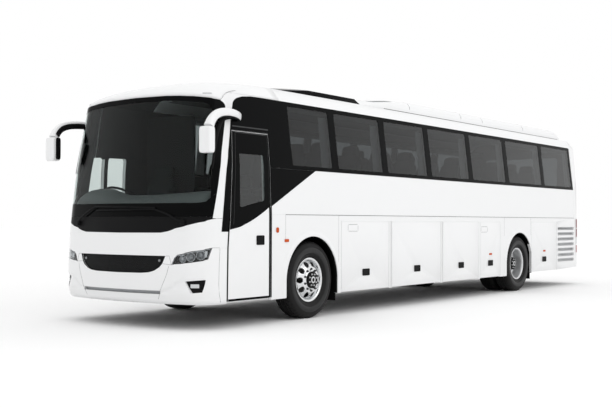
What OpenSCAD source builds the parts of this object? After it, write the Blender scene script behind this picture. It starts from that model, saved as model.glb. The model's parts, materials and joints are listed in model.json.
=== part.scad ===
// Two-axle touring coach, in millimetres.
// X points forward, Y to the coach's left, Z up. The frame's origin lies on the ground
// under the middle of the coach's box. Stations along X are measured from the front axle.

/* [Overall] */
// Distance between the two axles
wheelbase = 6700; // [6400:10:7000]
// Bumper ahead of the front axle
front_overhang = 2330; // [2300:5:2400]
// Rear panel behind the rear axle
rear_overhang = 3020; // [2950:10:3100]
// Width over the side panels
body_w = 2600; // [2560:2:2620]
// Thickness of side walls and roof
wall = 60; // [50:1:70]

/* [Heights] */
// Lower edge of the skirts
skirt_z = 310; // [290:5:330]
// Belt line where skirts meet the side walls
belt_z = 1400; // [1390:2:1410]
// Window sill, where the side starts to lean in
sill_z = 2000; // [1980:5:2020]
// Top of the side walls
cant_z = 2900; // [2880:5:2920]
// Shoulder where the roof strip meets the crown
shoulder_z = 3070; // [3050:5:3085]
// Top of the roof
crown_z = 3190; // [3180:2:3200]
// Top of the saloon floor
deck_z = 1370; // [1366:1:1380]
// Top of the driver's platform
platform_z = 1000; // [980:5:1020]
// Top of the luggage bay floor
bay_z = 440; // [430:5:460]

/* [Wheels] */
// Tyre outer diameter
tyre_d = 1044; // [1020:2:1050]
// Tyre section width
tyre_w = 298; // [285:1:300]
// Rim flange diameter
rim_d = 597; // [590:1:600]
// Front wheel's mid plane from the centre line
front_wheel_y = 1130; // [1122:1:1134]
// Middle of the rear twins from the centre line
rear_wheel_y = 960; // [955:1:964]
// Distance between the mid planes of the twins
twin_pitch = 340; // [335:1:350]
// Kingpin from the centre line
kingpin_y = 990; // [982:1:994]
// Spindle radius
spindle_r = 45; // [40:1:50]
// Radius of the wheel arch
arch_r = 590; // [580:1:600]

/* [Doors and flaps] */
// Rear edge of the passenger doorway
door_rear_x = 905; // [895:5:915]
// Lower edge of the passenger door
door_z = 335; // [325:5:345]
// Top of the passenger door
door_top_z = 2430; // [2420:5:2440]
// Thickness of door, flaps and skirts
panel_t = 45; // [42:1:50]
// Running gap round moving panels
gap = 7; // [6:0.5:9]
// Top edge of the flaps
flap_top_z = 1303; // [1300:1:1306]
// Radius of the flaps' hinge rods
hinge_r = 6; // [5:0.5:7]

/* [Hidden] */
$fn = 48;

white = "white";
black = "#1c1d1f";
glass = [0.2, 0.24, 0.25, 0.6];
// Seam between fixed panels, and the closest that seated pieces come
seam = 0.8;
seat = 0.3;
// Radial clearance of shafts in their bores
run = 0.05;
far = 20000;
// Facets round the wide crown circle
crown_fn = 720;

half_w = body_w / 2;
rear_axle_x = -wheelbase;
rear_x = rear_axle_x - rear_overhang;
wheel_r = tyre_d / 2;
// Side leans in above the belt: half widths at sill, top of wall and shoulder
sill_hw = half_w - 20;
cant_hw = half_w - 110;
shoulder_hw = half_w - 250;
lean = atan((sill_hw - cant_hw) / (cant_z - sill_z));
// The shoulder stays above the wall and the crown above the shoulder
roof_step = 60;
edge_z = max(shoulder_z, cant_z + roof_step);
top_z = max(crown_z, edge_z + roof_step);
// Crown arc through both shoulders
crown_rise = top_z - edge_z;
crown_r = (shoulder_hw * shoulder_hw + crown_rise * crown_rise) / (2 * crown_rise);
// Front end of the rear cap, and of the straight roof
rear_cap_x = rear_x + 220;
roof_front_x = 600;
frame_x = (front_overhang + rear_x) / 2;

// Luggage bays share the room between the wheels, with posts between their flaps
BAY_SHARE = [1272, 1527, 1277, 804];
bays = len(BAY_SHARE);
bay_post = 93;
bay_front_x = -689;
bay_rear_x = rear_axle_x + 851;
function total(list, n) = n == 0 ? 0 : list[n - 1] + total(list, n - 1);
bay_scale = (bay_front_x - bay_rear_x - (bays - 1) * bay_post) / total(BAY_SHARE, bays);
function bay_edge(k) = bay_front_x - bay_scale * total(BAY_SHARE, k) - k * bay_post;
// Flaps along a side as [front edge, rear edge], the last one behind the rear wheel
FLAPS = concat([for (k = [0:bays - 1]) [bay_edge(k), bay_edge(k + 1) + bay_post]],
    [[rear_axle_x - 557, rear_axle_x - 1810]]);
// Bulkheads below the saloon floor, at the posts between the flaps
bulkhead_t = 40;
house_reach = 660;
BULKHEADS = [-house_reach - bulkhead_t / 2, (FLAPS[0][1] + FLAPS[1][0]) / 2,
    (FLAPS[1][1] + FLAPS[2][0]) / 2, (FLAPS[2][1] + FLAPS[3][0]) / 2,
    rear_axle_x + house_reach + bulkhead_t / 2, rear_axle_x - house_reach - bulkhead_t / 2];
// Edges of the side window panes, from front to rear
PANES = [570, -572, -1903, -3262, -4733, -6218, -7892, rear_cap_x + 40];
pane_gap = 10;
pane_t = 8;
pane_low_z = sill_z + 8;
pane_top_z = cant_z - 12;
pane_rim = 45;
// Driver's window in the right wall, in two panes
DRIVER_PANES = [[1070, 1405], [1470, 1585]];
driver_pane_z = [1560, 2190];
// Grille on the side behind the last flap
louvre_x = [rear_axle_x - 1890, rear_axle_x - 2765];
louvre_z = [500, 1260];
louvres = 7;

// Half width of the skin at height z, and the leaning end of the front cap
function skin_hw(z) = lookup(z, [[0, half_w], [belt_z, half_w], [sill_z, sill_hw],
    [cant_z, cant_hw]]);
function cap_end_x(z) = lookup(z, [[skirt_z, 1745], [1000, 1735], [door_top_z, 1618],
    [cant_z, 1580]]);

// Thickness of the front panels, and of the lamp units behind their covers
mask_t = 30;
pillar_t = 40;
lamp_t = 70;
// Fog lamp pocket in the left of the bumper as [y, z], and the intake slot in its middle
FOG = [[half_w - 280, 593], [half_w - 73, 612], [half_w - 100, 463], [half_w - 210, 452]];
slot_hw = 680;
slot_z = [430, 472];
// Wipers as [pivot column, elbow column, blade's inner and outer column, blade height]
WIPERS = [[-7.2, -3.3, -4, 4, 1478], [9.2, 4, -3, 5, 1446]];
wiper_pivot_z = 1285;

// Front skin: a wide front arc and two corner arcs at every height
front_r = 4600;
ws_low_z = 1365;
ws_top_z = 2870;
function front_x(z) = z <= ws_low_z
    ? lookup(z, [[skirt_z, front_overhang - 45], [480, front_overhang],
        [760, front_overhang - 3], [1170, front_overhang - 22],
        [ws_low_z, front_overhang - 40]])
    : front_overhang - 40 - 0.11 * (z - ws_low_z) - 0.0000316 * pow(z - ws_low_z, 2);
function corner_r(z) = lookup(z, [[skirt_z, 400], [ws_low_z, 420], [ws_top_z, 340]]);
// Columns over half the front: shares of the front arc, then of the corner arc, then the side
FRONT_SHARE = [0, 0.145, 0.29, 0.435, 0.58, 0.69, 0.797, 0.86, 0.9, 1];
CORNER_SHARE = [0, 0.1, 0.23, 0.36, 0.49, 0.53, 0.62, 0.745, 0.87, 1];
arc_cols = len(FRONT_SHARE) - 1;
corner_cols = arc_cols + len(CORNER_SHARE) - 1;
end_col = corner_cols + 2;
ws_col = corner_cols - 2;
// Headlamp between its inner end, its lower outer end and its tip
lamp_in_col = 7;
lamp_out_col = 14.8;
lamp_tip_col = 15.5;
mask_z = 893;
HALF_COLS = [0, 1, 2, 2.8, 3.6, 4.3, 5, 5.35, 5.75, 6, 6.5, lamp_in_col, 8, 8.45, 9, 10, 11, 12,
    13, 14, lamp_out_col, lamp_tip_col, 16, 17, corner_cols, corner_cols + 1, end_col];
function both_ways(list) = concat([for (k = [len(list) - 1:-1:1]) -list[k]], list);
wide_cols = both_ways(HALF_COLS);
function share(list, i) = lookup(i, [for (k = [0:len(list) - 1]) [k, list[k]]]);
function corner_y(z) = skin_hw(z) - corner_r(z);
function corner_a(z) = asin(corner_y(z) / (front_r - corner_r(z)));
function arc_x(z) = front_x(z) - front_r;
function corner_x(z) = arc_x(z) + sqrt(pow(front_r - corner_r(z), 2) - pow(corner_y(z), 2));
function half_skin(z, i, t) = i <= arc_cols
    ? let (a = corner_a(z) * share(FRONT_SHARE, i))
        [arc_x(z) + (front_r - t) * cos(a), (front_r - t) * sin(a), z]
    : i <= corner_cols
    ? let (a = corner_a(z) + (90 - corner_a(z)) * share(CORNER_SHARE, i - arc_cols),
        r = corner_r(z) - t)
        [corner_x(z) + r * cos(a), corner_y(z) + r * sin(a), z]
    : let (f = (i - corner_cols) / (end_col - corner_cols))
        [corner_x(z) + (cap_end_x(z) + seam - corner_x(z)) * f, skin_hw(z) - t, z];
function flip_y(p) = [p[0], -p[1], p[2]];
function skin(z, i, t) = i >= 0 ? half_skin(z, i, t) : flip_y(half_skin(z, -i, t));

// Edges of the front panels, as heights over the columns from the middle outwards
BUMPER_TOP = [[0, 676], [2.8, 680], [3.6, 690], [4.3, 715], [5, 758], [5.35, 800],
    [5.75, mask_z - seam], [6.5, mask_z - seam], [lamp_in_col, 786], [11, 817],
    [lamp_out_col, 856], [lamp_tip_col, 994 - seam], [end_col, 985 - seam]];
MASK_LOW = [[0, mask_z], [6.5, mask_z], [lamp_in_col, 786 + seam], [8.45, 910], [11, 953],
    [lamp_tip_col, 994], [end_col, 985]];
COWL_LOW = [[0, 1167], [5, 1172], [12, 1296], [ws_col, 1345]];
WS_TOP = [[0, ws_top_z], [4, ws_top_z - 7], [9, ws_top_z - 32], [ws_col, ws_top_z - 75],
    [ws_col + 1, ws_top_z - 10], [corner_cols, cant_z - 2], [end_col, cant_z]];
function edge(table, i) = lookup(abs(i), table);

// Closed shell from two equal grids of points, outer[row][column] and inner[row][column]
module shell(outer, inner) {
    rows = len(outer);
    cols = len(outer[0]);
    n = rows * cols;
    points = concat([for (r = outer) each r], [for (r = inner) each r]);
    function id(r, c) = r * cols + c;
    quads = concat(
        [for (r = [0:rows - 2], c = [0:cols - 2])
            [id(r, c), id(r + 1, c), id(r + 1, c + 1), id(r, c + 1)]],
        [for (r = [0:rows - 2], c = [0:cols - 2])
            [n + id(r, c), n + id(r, c + 1), n + id(r + 1, c + 1), n + id(r + 1, c)]],
        [for (c = [0:cols - 2]) [id(0, c), id(0, c + 1), n + id(0, c + 1), n + id(0, c)]],
        [for (c = [0:cols - 2])
            [id(rows - 1, c + 1), id(rows - 1, c), n + id(rows - 1, c), n + id(rows - 1, c + 1)]],
        [for (r = [0:rows - 2]) [id(r + 1, 0), id(r, 0), n + id(r, 0), n + id(r + 1, 0)]],
        [for (r = [0:rows - 2])
            [id(r, cols - 1), id(r + 1, cols - 1), n + id(r + 1, cols - 1), n + id(r, cols - 1)]]);
    polyhedron(points, [for (q = quads) each [[q[0], q[1], q[2]], [q[0], q[2], q[3]]]]);
}

// Part of the front skin over a list of columns, between two edges, from depth t0 to t1
module skin_patch(cols, low, top, rows, t0, t1) {
    function grid(t) = [for (r = [0:rows])
        [for (i = cols) skin(low(i) + (top(i) - low(i)) * r / rows, i, t)]];
    shell(grid(t0), grid(t1));
}

module along_x(x0, x1) {
    translate([x0, 0, 0]) rotate([90, 0, 90]) linear_extrude(x1 - x0) children();
}
module along_y(y0, y1) {
    translate([0, y1, 0]) rotate([90, 0, 0]) linear_extrude(y1 - y0) children();
}
module on_side(s) {
    if (s > 0) children();
    else mirror([0, 1, 0]) children();
}
module block(x, y, z) {
    translate([x[0], y[0], z[0]]) cube([x[1] - x[0], y[1] - y[0], z[1] - z[0]]);
}
// Upright and cross-wise round bars
module post(x, y, z0, z1, r) {
    translate([x, y, z0]) cylinder(r = r, h = z1 - z0);
}
module spindle(x, z, y0, y1, r) {
    translate([x, y0, z]) rotate([-90, 0, 0]) cylinder(r = r, h = y1 - y0);
}
// Rectangle with round corners, from its corner points
module round_rect(lo, hi, r) {
    translate([lo[0] + r, lo[1]]) square([hi[0] - lo[0] - 2 * r, hi[1] - lo[1]]);
    translate([lo[0], lo[1] + r]) square([hi[0] - lo[0], hi[1] - lo[1] - 2 * r]);
    for (x = [lo[0] + r, hi[0] - r], z = [lo[1] + r, hi[1] - r]) translate([x, z]) circle(r);
}
// Cross-section of the left wall between two depths below its skin
module wall_section(z0, z1, t0, t1) {
    zs = [for (z = [z0, belt_z, sill_z, z1]) if (z >= z0 && z <= z1) z];
    polygon(concat([for (z = zs) [skin_hw(z) - t0, z]],
        [for (k = [len(zs) - 1:-1:0]) [skin_hw(zs[k]) - t1, zs[k]]]));
}
// Cross-section of the roof at a depth below its skin
function roof_half(t) = [[cant_hw - t, cant_z], [shoulder_hw - 0.7 * t, edge_z - 0.7 * t],
    [shoulder_hw - 0.7 * t, top_z + 50]];
module roof_section(t) {
    half = roof_half(t);
    intersection() {
        translate([0, top_z - crown_r]) circle(r = crown_r - t, $fn = crown_fn);
        polygon(concat(half, [for (k = [2:-1:0]) [-half[k][0], half[k][1]]]));
    }
}
// Upright plane of the left windows: X along the coach, Y out of the glass, Z up the lean
module window_plane() {
    translate([0, sill_hw, sill_z]) rotate([lean, 0, 0]) children();
}
function up_lean(z) = (z - sill_z) / cos(lean);

// Front panels
function columns(i0, i1) = [for (i = [i0:i1]) i];
lamp_cols = concat([lamp_in_col + 0.1, 8, 8.45], columns(9, 14), [lamp_out_col, lamp_tip_col - 0.15]);
grille_cols = both_ways([0, 1, 2, 2.8, 3.6, 4.3, 5, 5.35, 5.7]);
// Glass and cowl stop just short of the pillars
ws_cols = concat([0.04 - ws_col], columns(1 - ws_col, ws_col - 1), [ws_col - 0.04]);
module front_mask() {
    color(white) {
        skin_patch(wide_cols, function(i) edge(MASK_LOW, i),
            function(i) edge(COWL_LOW, i) - seam, 4, 0, mask_t);
        for (s = [-1, 1]) on_side(s)
            skin_patch(columns(ws_col, end_col), function(i) edge(COWL_LOW, i),
                function(i) edge(WS_TOP, i), 14, 0, pillar_t);
    }
}
module front_bumper() {
    color(white) difference() {
        skin_patch(wide_cols, function(i) skirt_z,
            function(i) edge(BUMPER_TOP, i), 6, 0, mask_t);
        for (s = [-1, 1]) on_side(s) along_x(1900, front_overhang + 50) polygon(FOG);
        block([1900, front_overhang + 50], [-slot_hw, slot_hw], slot_z);
    }
}
module grille() {
    color(black) skin_patch(grille_cols, function(i) edge(BUMPER_TOP, i) + seam,
        function(i) edge(MASK_LOW, i) - seam, 2, 8, mask_t);
}
module front_lamps() {
    color("silver") for (s = [-1, 1]) on_side(s) {
        skin_patch(lamp_cols, function(i) edge(BUMPER_TOP, i) + seam,
            function(i) edge(MASK_LOW, i) - seam, 3, 1, lamp_t);
        skin_patch(columns(arc_cols, 14), function(i) FOG[3][1] - 20,
            function(i) FOG[1][1] + 20, 2, mask_t + 1.2, mask_t + 45);
    }
}
module wiper_cowl() {
    color(black) skin_patch(ws_cols, function(i) edge(COWL_LOW, i),
        function(i) ws_low_z - seam, 2, 2, 16);
}
module windscreen() {
    color(glass) skin_patch(ws_cols, function(i) ws_low_z,
        function(i) edge(WS_TOP, i) - seam, 12, 2, 10);
}
// Each wiper: a pivot on the cowl, an arm, and a blade along the foot of the glass
module wipers() {
    color(black) for (w = WIPERS) {
        step = (w[1] - w[0]) / 4;
        z_at = function(i) wiper_pivot_z + (w[4] - wiper_pivot_z) * (i - w[0]) / (w[1] - w[0]);
        cols = [for (k = [0:4]) w[0] + k * step];
        skin_patch(step > 0 ? cols : [for (k = [4:-1:0]) cols[k]],
            function(i) z_at(i), function(i) z_at(i) + 24, 1, -32, -12);
        skin_patch(columns(w[2], w[3]), function(i) w[4], function(i) w[4] + 18, 1, -20, 2 - seat);
        skin_patch([w[0] - 0.3, w[0], w[0] + 0.3], function(i) wiper_pivot_z - 20,
            function(i) wiper_pivot_z + 30, 1, -26, 2 - seat);
    }
}

// Roof and its front dome
module roof() {
    color(white) difference() {
        along_x(rear_cap_x + seam, roof_front_x) roof_section(0);
        along_x(rear_cap_x - 1, roof_front_x + 1) roof_section(wall);
    }
}
function crown_at(y, t) = top_z - crown_r + sqrt(pow(crown_r - t, 2) - y * y);
function roof_point(f, t) = let (p = roof_half(t), shoulder_f = 0.75)
    f < shoulder_f
    ? let (y = p[1][0] * f / shoulder_f) [y, crown_at(y, t)]
    : let (k = (f - shoulder_f) / (1 - shoulder_f), top = crown_at(p[1][0], t))
        [p[1][0] + (p[0][0] - p[1][0]) * k, top + (cant_z - top) * k];
// Bow from the top of the windscreen, or of a pillar, back to the straight roof
dome_run = 500;
function half_dome(i, s, t) = let (
        a = half_skin(edge(WS_TOP, i) + seam, i, t),
        b = roof_point(i / end_col, t),
        d = [roof_front_x + seam, b[0], b[1] + (i == end_col ? seam : 0)],
        rise = 0.56 * (d[2] - a[2]),
        b1 = a + [-0.2, -0.05, 1] * rise,
        b2 = d + [dome_run, 0, 0],
        q = 1 - s)
    a * q * q * q + b1 * 3 * q * q * s + b2 * 3 * q * s * s + d * s * s * s;
module roof_dome() {
    rows = 10;
    function grid(t) = [for (r = [0:rows]) [for (i = columns(-end_col, end_col))
        i < 0 ? flip_y(half_dome(-i, r / rows, t)) : half_dome(i, r / rows, t)]];
    color(white) shell(grid(0), grid(pillar_t));
}

// Side walls above the belt line, with window openings behind the bonded panes
module window_holes(panes, inset) {
    for (k = [0:len(panes) - 2])
        window_plane() along_y(-wall - 20, 20)
            round_rect([panes[k + 1] + inset, up_lean(pane_low_z) + inset],
                [panes[k] - inset, up_lean(pane_top_z) - inset], 30);
}
module side_wall(s) {
    doorway = s > 0;
    front = function(z) cap_end_x(z);
    on_side(s) difference() {
        intersection() {
            along_x(rear_cap_x + seam, far) wall_section(belt_z + seam, cant_z, 0, wall);
            along_y(0, half_w + 100) polygon([[-far, belt_z], [front(belt_z), belt_z],
                [front(door_top_z), door_top_z], [front(cant_z), cant_z], [-far, cant_z]]);
        }
        window_holes(PANES, pane_rim);
        window_plane() along_y(-pane_t - 1, 20)
            polygon([for (p = [[0, 0], [1, 0], [1, 1], [0, 1]])
                [PANES[p[0] * (len(PANES) - 1)] + (p[0] == 0 ? seat : -seat),
                    up_lean(p[1] == 0 ? pane_low_z : pane_top_z) + (p[1] == 0 ? -seat : seat)]]);
        if (doorway) block([door_rear_x, far], [0, far], [0, door_top_z + gap]);
        else for (p = DRIVER_PANES) along_y(0, half_w + 100)
            round_rect([p[0], driver_pane_z[0]], [p[1], driver_pane_z[1]], 40);
    }
}
module side_wall_left() {
    color(white) side_wall(1);
}
module side_wall_right() {
    color(white) side_wall(-1);
}
// Window panes of both sides, and the driver's window
module side_windows() {
    color(glass) for (s = [-1, 1]) on_side(s) {
        for (k = [0:len(PANES) - 2]) window_plane()
            block([PANES[k + 1] + pane_gap / 2, PANES[k] - pane_gap / 2],
                [-pane_t - 1 + seat, 0], [up_lean(pane_low_z), up_lean(pane_top_z)]);
        if (s < 0) for (p = DRIVER_PANES) intersection() {
            along_x(0, 2000) wall_section(belt_z, cant_z, 10, 10 + pane_t);
            along_y(0, half_w) round_rect([p[0] + seat, driver_pane_z[0] + seat],
                [p[1] - seat, driver_pane_z[1] - seat], 40);
        }
    }
}

// Fixed lower panels: a belt rail, posts between the flaps, arches and side grilles
hinge_y = half_w - 4;
hinge_z = flap_top_z + 11;
skirt_rear_z = skirt_z + 50;
module arch(x) {
    translate([x, wheel_r]) circle(arch_r);
    translate([x - arch_r, -10]) square([2 * arch_r, wheel_r + 10]);
}
module skirt(s) {
    end_at = function(z) s > 0 ? door_rear_x : cap_end_x(z) - seat;
    on_side(s) difference() {
        along_y(half_w - panel_t, half_w) difference() {
            polygon([[rear_cap_x + seam, skirt_rear_z], [rear_axle_x - arch_r, skirt_z],
                [end_at(skirt_z), skirt_z], [end_at(1000), 1000], [end_at(belt_z), belt_z],
                [rear_cap_x + seam, belt_z]]);
            arch(0);
            arch(rear_axle_x);
            for (f = FLAPS) translate([f[1] - gap, 0]) square([f[0] - f[1] + 2 * gap, hinge_z]);
            for (k = [0:louvres - 1])
                translate([louvre_x[1], louvre_z[0] + k * (louvre_z[1] - louvre_z[0]) / louvres])
                    square([louvre_x[0] - louvre_x[1], 60]);
        }
        for (f = FLAPS) translate([f[1] - gap, hinge_y, hinge_z])
            rotate([0, 90, 0]) cylinder(r = hinge_r + seat, h = f[0] - f[1] + 2 * gap);
    }
}
module skirt_panels() {
    color(white) for (s = [-1, 1]) skirt(s);
}
// A flap: panel with a recessed handle, a hinge leaf and a rod along its top edge
handle_w = 190;
handle_h = 100;
handle_z = 575;
handle_in = 14;
module flap(s, k) {
    f = FLAPS[k];
    low = k == 4 ? skirt_rear_z - 20 : skirt_z + 10;
    mid = (f[0] + f[1]) / 2;
    on_side(s) {
        difference() {
            block([f[1], f[0]], [half_w - panel_t, half_w], [low, flap_top_z]);
            along_y(half_w - handle_in, half_w + 10)
                round_rect([mid - handle_w / 2, handle_z - handle_h / 2],
                    [mid + handle_w / 2, handle_z + handle_h / 2], 20);
        }
        along_y(half_w - handle_in - 1, half_w - 2)
            round_rect([mid - handle_w / 2 + 18, handle_z - 12], [mid + handle_w / 2 - 18, handle_z + 34], 10);
        block([f[1], f[0]], [hinge_y - 3, hinge_y + 3], [flap_top_z - 1, hinge_z]);
        translate([f[1], hinge_y, hinge_z]) rotate([0, 90, 0]) cylinder(r = hinge_r, h = f[0] - f[1]);
    }
}
module flap_node(s, k) {
    color(white) flap(s, k);
}

// Passenger door: a leaf on two arms that swing it out and forward
// Corners of the door's window, its sill falling towards the front
function door_window(inset) = [[1030 + inset, 1566 + inset], [1522 - inset, 1474 + inset],
    [1506 - inset, 2162 - inset], [1026 + inset, 2162 - inset]];
arm_pivot = [1560, half_w - 150];
arm_l = 450;
arm_z = [700, 1300];
arm_t = 30;
arm_w = 36;
arm_post_r = 22;
arm_pin_r = 12;
step_z = 400;
module door_outline(inset) {
    polygon([[door_rear_x + inset, door_z], [cap_end_x(door_z) - inset, door_z],
        [cap_end_x(1000) - inset, 1000], [cap_end_x(door_top_z) - inset, door_top_z],
        [door_rear_x + inset, door_top_z]]);
}
module door_leaf() {
    pin_x = arm_pivot[0] - arm_l;
    color(white) {
        difference() {
            intersection() {
                along_x(0, 2000) wall_section(door_z, door_top_z, 0, panel_t);
                along_y(0, half_w + 100) door_outline(gap);
            }
            along_y(0, half_w + 100) polygon(door_window(0));
        }
        for (z = arm_z) {
            block([pin_x - 25, pin_x + 25], [arm_pivot[1] - 20, half_w - panel_t + 5],
                [z + arm_t + seat, z + arm_t + 14]);
            post(pin_x, arm_pivot[1], z - 4, z + arm_t + 10, arm_pin_r);
        }
    }
}
module door_glass() {
    color(glass) intersection() {
        along_x(0, 2000) wall_section(door_z, door_top_z, 4, 4 + pane_t);
        along_y(0, half_w) polygon(door_window(seat));
    }
}
module door_arms() {
    color("dimgray") {
        post(arm_pivot[0], arm_pivot[1], step_z + seat, door_top_z - 60, arm_post_r);
        for (z = arm_z) difference() {
            union() {
                block([arm_pivot[0] - arm_l, arm_pivot[0]],
                    [arm_pivot[1] - arm_w / 2, arm_pivot[1] + arm_w / 2], [z, z + arm_t]);
                post(arm_pivot[0] - arm_l, arm_pivot[1], z, z + arm_t, arm_w / 2 + 8);
            }
            post(arm_pivot[0] - arm_l, arm_pivot[1], z - 1, z + arm_t + 1, arm_pin_r + run);
        }
    }
}

// Rear end: one rounded shell with the window, the lamps and the engine door let into it
rear_corner_r = 110;
rear_low_z = skirt_rear_z;
rear_glass = [850, 2060, 2720];
engine_hole = [800, 470, 1290];
lamp_z = [840, 1390];
lamp_r = 18;
module body_section(t, low) {
    side = [[half_w - t, low], [half_w - t, belt_z], [sill_hw - t, sill_z], [cant_hw - t, cant_z + 1]];
    polygon(concat(side, [for (k = [len(side) - 1:-1:0]) [-side[k][0], side[k][1]]]));
    roof_section(t);
}
module rear_plan(t, front) {
    r = rear_corner_r;
    c = half_w - r;
    translate([rear_x + t, -c]) square([front - rear_x - t, 2 * c]);
    translate([rear_x + r, t - half_w]) square([front - rear_x - r, 2 * (half_w - t)]);
    for (s = [-1, 1]) translate([rear_x + r, s * c]) circle(r - t);
}
module rear_solid(t, low, front) {
    r = rear_corner_r;
    intersection() {
        along_x(rear_x - 10, front) body_section(t, low);
        linear_extrude(top_z + 50) rear_plan(t, front);
        along_y(-half_w, half_w) {
            translate([rear_x + t, 0]) square([front - rear_x - t, top_z - r]);
            translate([rear_x + r, 0]) square([front - rear_x - r, top_z - t]);
            translate([rear_x + r, top_z - r]) circle(r - t);
        }
    }
}
module rear_lamp_ring(r0, r1, z) {
    translate([rear_x + rear_corner_r, half_w - rear_corner_r, z[0]]) intersection() {
        difference() {
            cylinder(r = r1, h = z[1] - z[0]);
            translate([0, 0, -1]) cylinder(r = r0, h = z[1] - z[0] + 2);
        }
        linear_extrude(z[1] - z[0]) polygon([[0, 0], [-600, 80], [-600, 600], [10, 600]]);
    }
}
module rear_panel() {
    color(white) difference() {
        rear_solid(0, rear_low_z, rear_cap_x);
        rear_solid(wall, rear_low_z - 10, rear_cap_x + 10);
        block([rear_x - 20, rear_x + wall + 20], [-engine_hole[0], engine_hole[0]],
            [engine_hole[1], engine_hole[2]]);
        along_x(rear_x - 20, rear_x + wall + 40)
            round_rect([-rear_glass[0], rear_glass[1]], [rear_glass[0], rear_glass[2]], 80);
        for (s = [-1, 1]) on_side(s)
            rear_lamp_ring(rear_corner_r - lamp_r - seat, rear_corner_r + 10, lamp_z);
    }
}
module rear_window() {
    color(glass) along_x(rear_x + 12, rear_x + 12 + pane_t)
        round_rect([-rear_glass[0] + seat, rear_glass[1] + seat],
            [rear_glass[0] - seat, rear_glass[2] - seat], 80);
}
module tail_lamps() {
    color("firebrick") for (s = [-1, 1]) on_side(s)
        rear_lamp_ring(rear_corner_r - lamp_r, rear_corner_r - 1, [lamp_z[0] + seat, lamp_z[1] - seat]);
}
module engine_door() {
    z = engine_hole[2] - gap - 2 * hinge_r;
    color(white) {
        block([rear_x, rear_x + panel_t], [-engine_hole[0] + gap, engine_hole[0] - gap],
            [engine_hole[1] + gap, z]);
        block([rear_x + hinge_r - 3, rear_x + hinge_r + 3], [-engine_hole[0] + gap, engine_hole[0] - gap],
            [z - 1, engine_hole[2] - hinge_r]);
        translate([rear_x + hinge_r, -engine_hole[0] + gap, engine_hole[2] - hinge_r - seat])
            rotate([-90, 0, 0]) cylinder(r = hinge_r, h = 2 * (engine_hole[0] - gap));
    }
}

// Amber lamps above the front arches as [x, z, half width, half height, corner radius]
MARKERS = [[776, 1200, 23, 34, 22], [581, 1062, 40, 19, 8]];
marker_t = 12;
module marker_lamps() {
    color("orange") for (s = [-1, 1], m = MARKERS) on_side(s) along_y(half_w + seat, half_w + marker_t)
        round_rect([m[0] - m[2], m[1] - m[3]], [m[0] + m[2], m[1] + m[3]], m[4]);
}

// Wheel housings with mud flaps behind the wheels
house_t = 12;
house_top_z = wheel_r + arch_r + 15;
house_in_y = 545;
flap_low_z = 200;
module wheel_house(x) {
    r = house_reach - seat;
    difference() {
        block([x - r, x + r], [house_in_y, half_w - panel_t - seat], [skirt_z + 10, house_top_z + house_t]);
        block([x - r + house_t, x + r - house_t], [house_in_y + house_t, half_w], [0, house_top_z]);
        block([x - 140, x + 140], [0, half_w], [0, wheel_r + 220]);
    }
    block([x - r, x - r + house_t], [front_wheel_y - tyre_w / 2, half_w - 80], [flap_low_z, skirt_z + 11]);
}
module wheel_housings() {
    color(black) for (s = [-1, 1]) on_side(s) {
        wheel_house(0);
        wheel_house(rear_axle_x);
    }
}

// Mirrors: a broad blade from the wall above the door, forward and down to a hanging head
head = [105, 150, 315];
head_mid = [2220, half_w + 100, 2267];
head_top_z = head_mid[2] + head[2] / 2;
arm_root = [1490, 2612];
root_y = skin_hw(arm_root[1]) + 36;
// Sections of the blade as [x, y, z, half height, half width]
ARM = [[arm_root[0], root_y, arm_root[1], 46, 24], [1640, half_w + 20, 2624, 47, 28],
    [1800, half_w + 62, 2627, 48, 30], [1960, half_w + 90, 2612, 50, 33], [2080, head_mid[1], 2572, 52, 37],
    [2160, head_mid[1], 2505, 54, 45], [2205, head_mid[1], head_top_z + 0.3, 52, 60]];
arm_sides = 12;
// Closed solid through rings of points
module swept(rings) {
    m = len(rings[0]);
    n = len(rings);
    polyhedron([for (r = rings) each r], concat(
        [for (k = [0:n - 2], c = [0:m - 1]) each let (d = (c + 1) % m)
            [[k * m + c, k * m + d, (k + 1) * m + d], [k * m + c, (k + 1) * m + d, (k + 1) * m + c]]],
        [[for (c = [m - 1:-1:0]) c]], [[for (c = [0:m - 1]) (n - 1) * m + c]]));
}
// The blade stands square to its run, and level where it meets the root and the head
function arm_turn(k) = k == 0 ? 0 : k == len(ARM) - 1 ? -90
    : atan2(ARM[k + 1][2] - ARM[k - 1][2], ARM[k + 1][0] - ARM[k - 1][0]);
module mirror_arms() {
    rings = [for (k = [0:len(ARM) - 1]) let (p = ARM[k], t = arm_turn(k))
        [for (c = [0:arm_sides - 1]) let (a = c * 360 / arm_sides)
            [p[0] - sin(t) * p[3] * cos(a), p[1] + p[4] * sin(a), p[2] + cos(t) * p[3] * cos(a)]]];
    color(white) for (s = [-1, 1]) on_side(s) {
        window_plane() block([arm_root[0] - 60, arm_root[0] + 60], [seat, 18],
            [up_lean(arm_root[1]) - 40, up_lean(arm_root[1]) + 40]);
        swept(rings);
    }
}
module mirror_heads() {
    color(white) for (s = [-1, 1]) on_side(s) translate(head_mid) hull()
        for (x = [-1, 1], y = [-1, 1]) {
            translate([x * (head[0] / 2 - 30), y * (head[1] / 2 - 30), -head[2] / 2 + 40])
                cylinder(r = 30, h = head[2] - 80, $fn = 24);
            translate([x * (head[0] / 2 - 40), y * (head[1] / 2 - 45), -head[2] / 2])
                cylinder(r = 20, h = head[2], $fn = 24);
        }
}

// Roof equipment, seated on the crown: a cooling unit, and a low pod that follows the roof
AC = [-1800, rear_cap_x + 80];
ac_hw = 1000;
ac_top_z = top_z + 110;
AC_HALF = [[ac_hw, edge_z - 40], [ac_hw - 12, ac_top_z - 110], [ac_hw - 60, ac_top_z - 50],
    [ac_hw - 130, ac_top_z - 26], [ac_hw / 2, ac_top_z - 6]];
POD = [210, -1800];
pod_hw = 880;
pod_t = 68;
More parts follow.
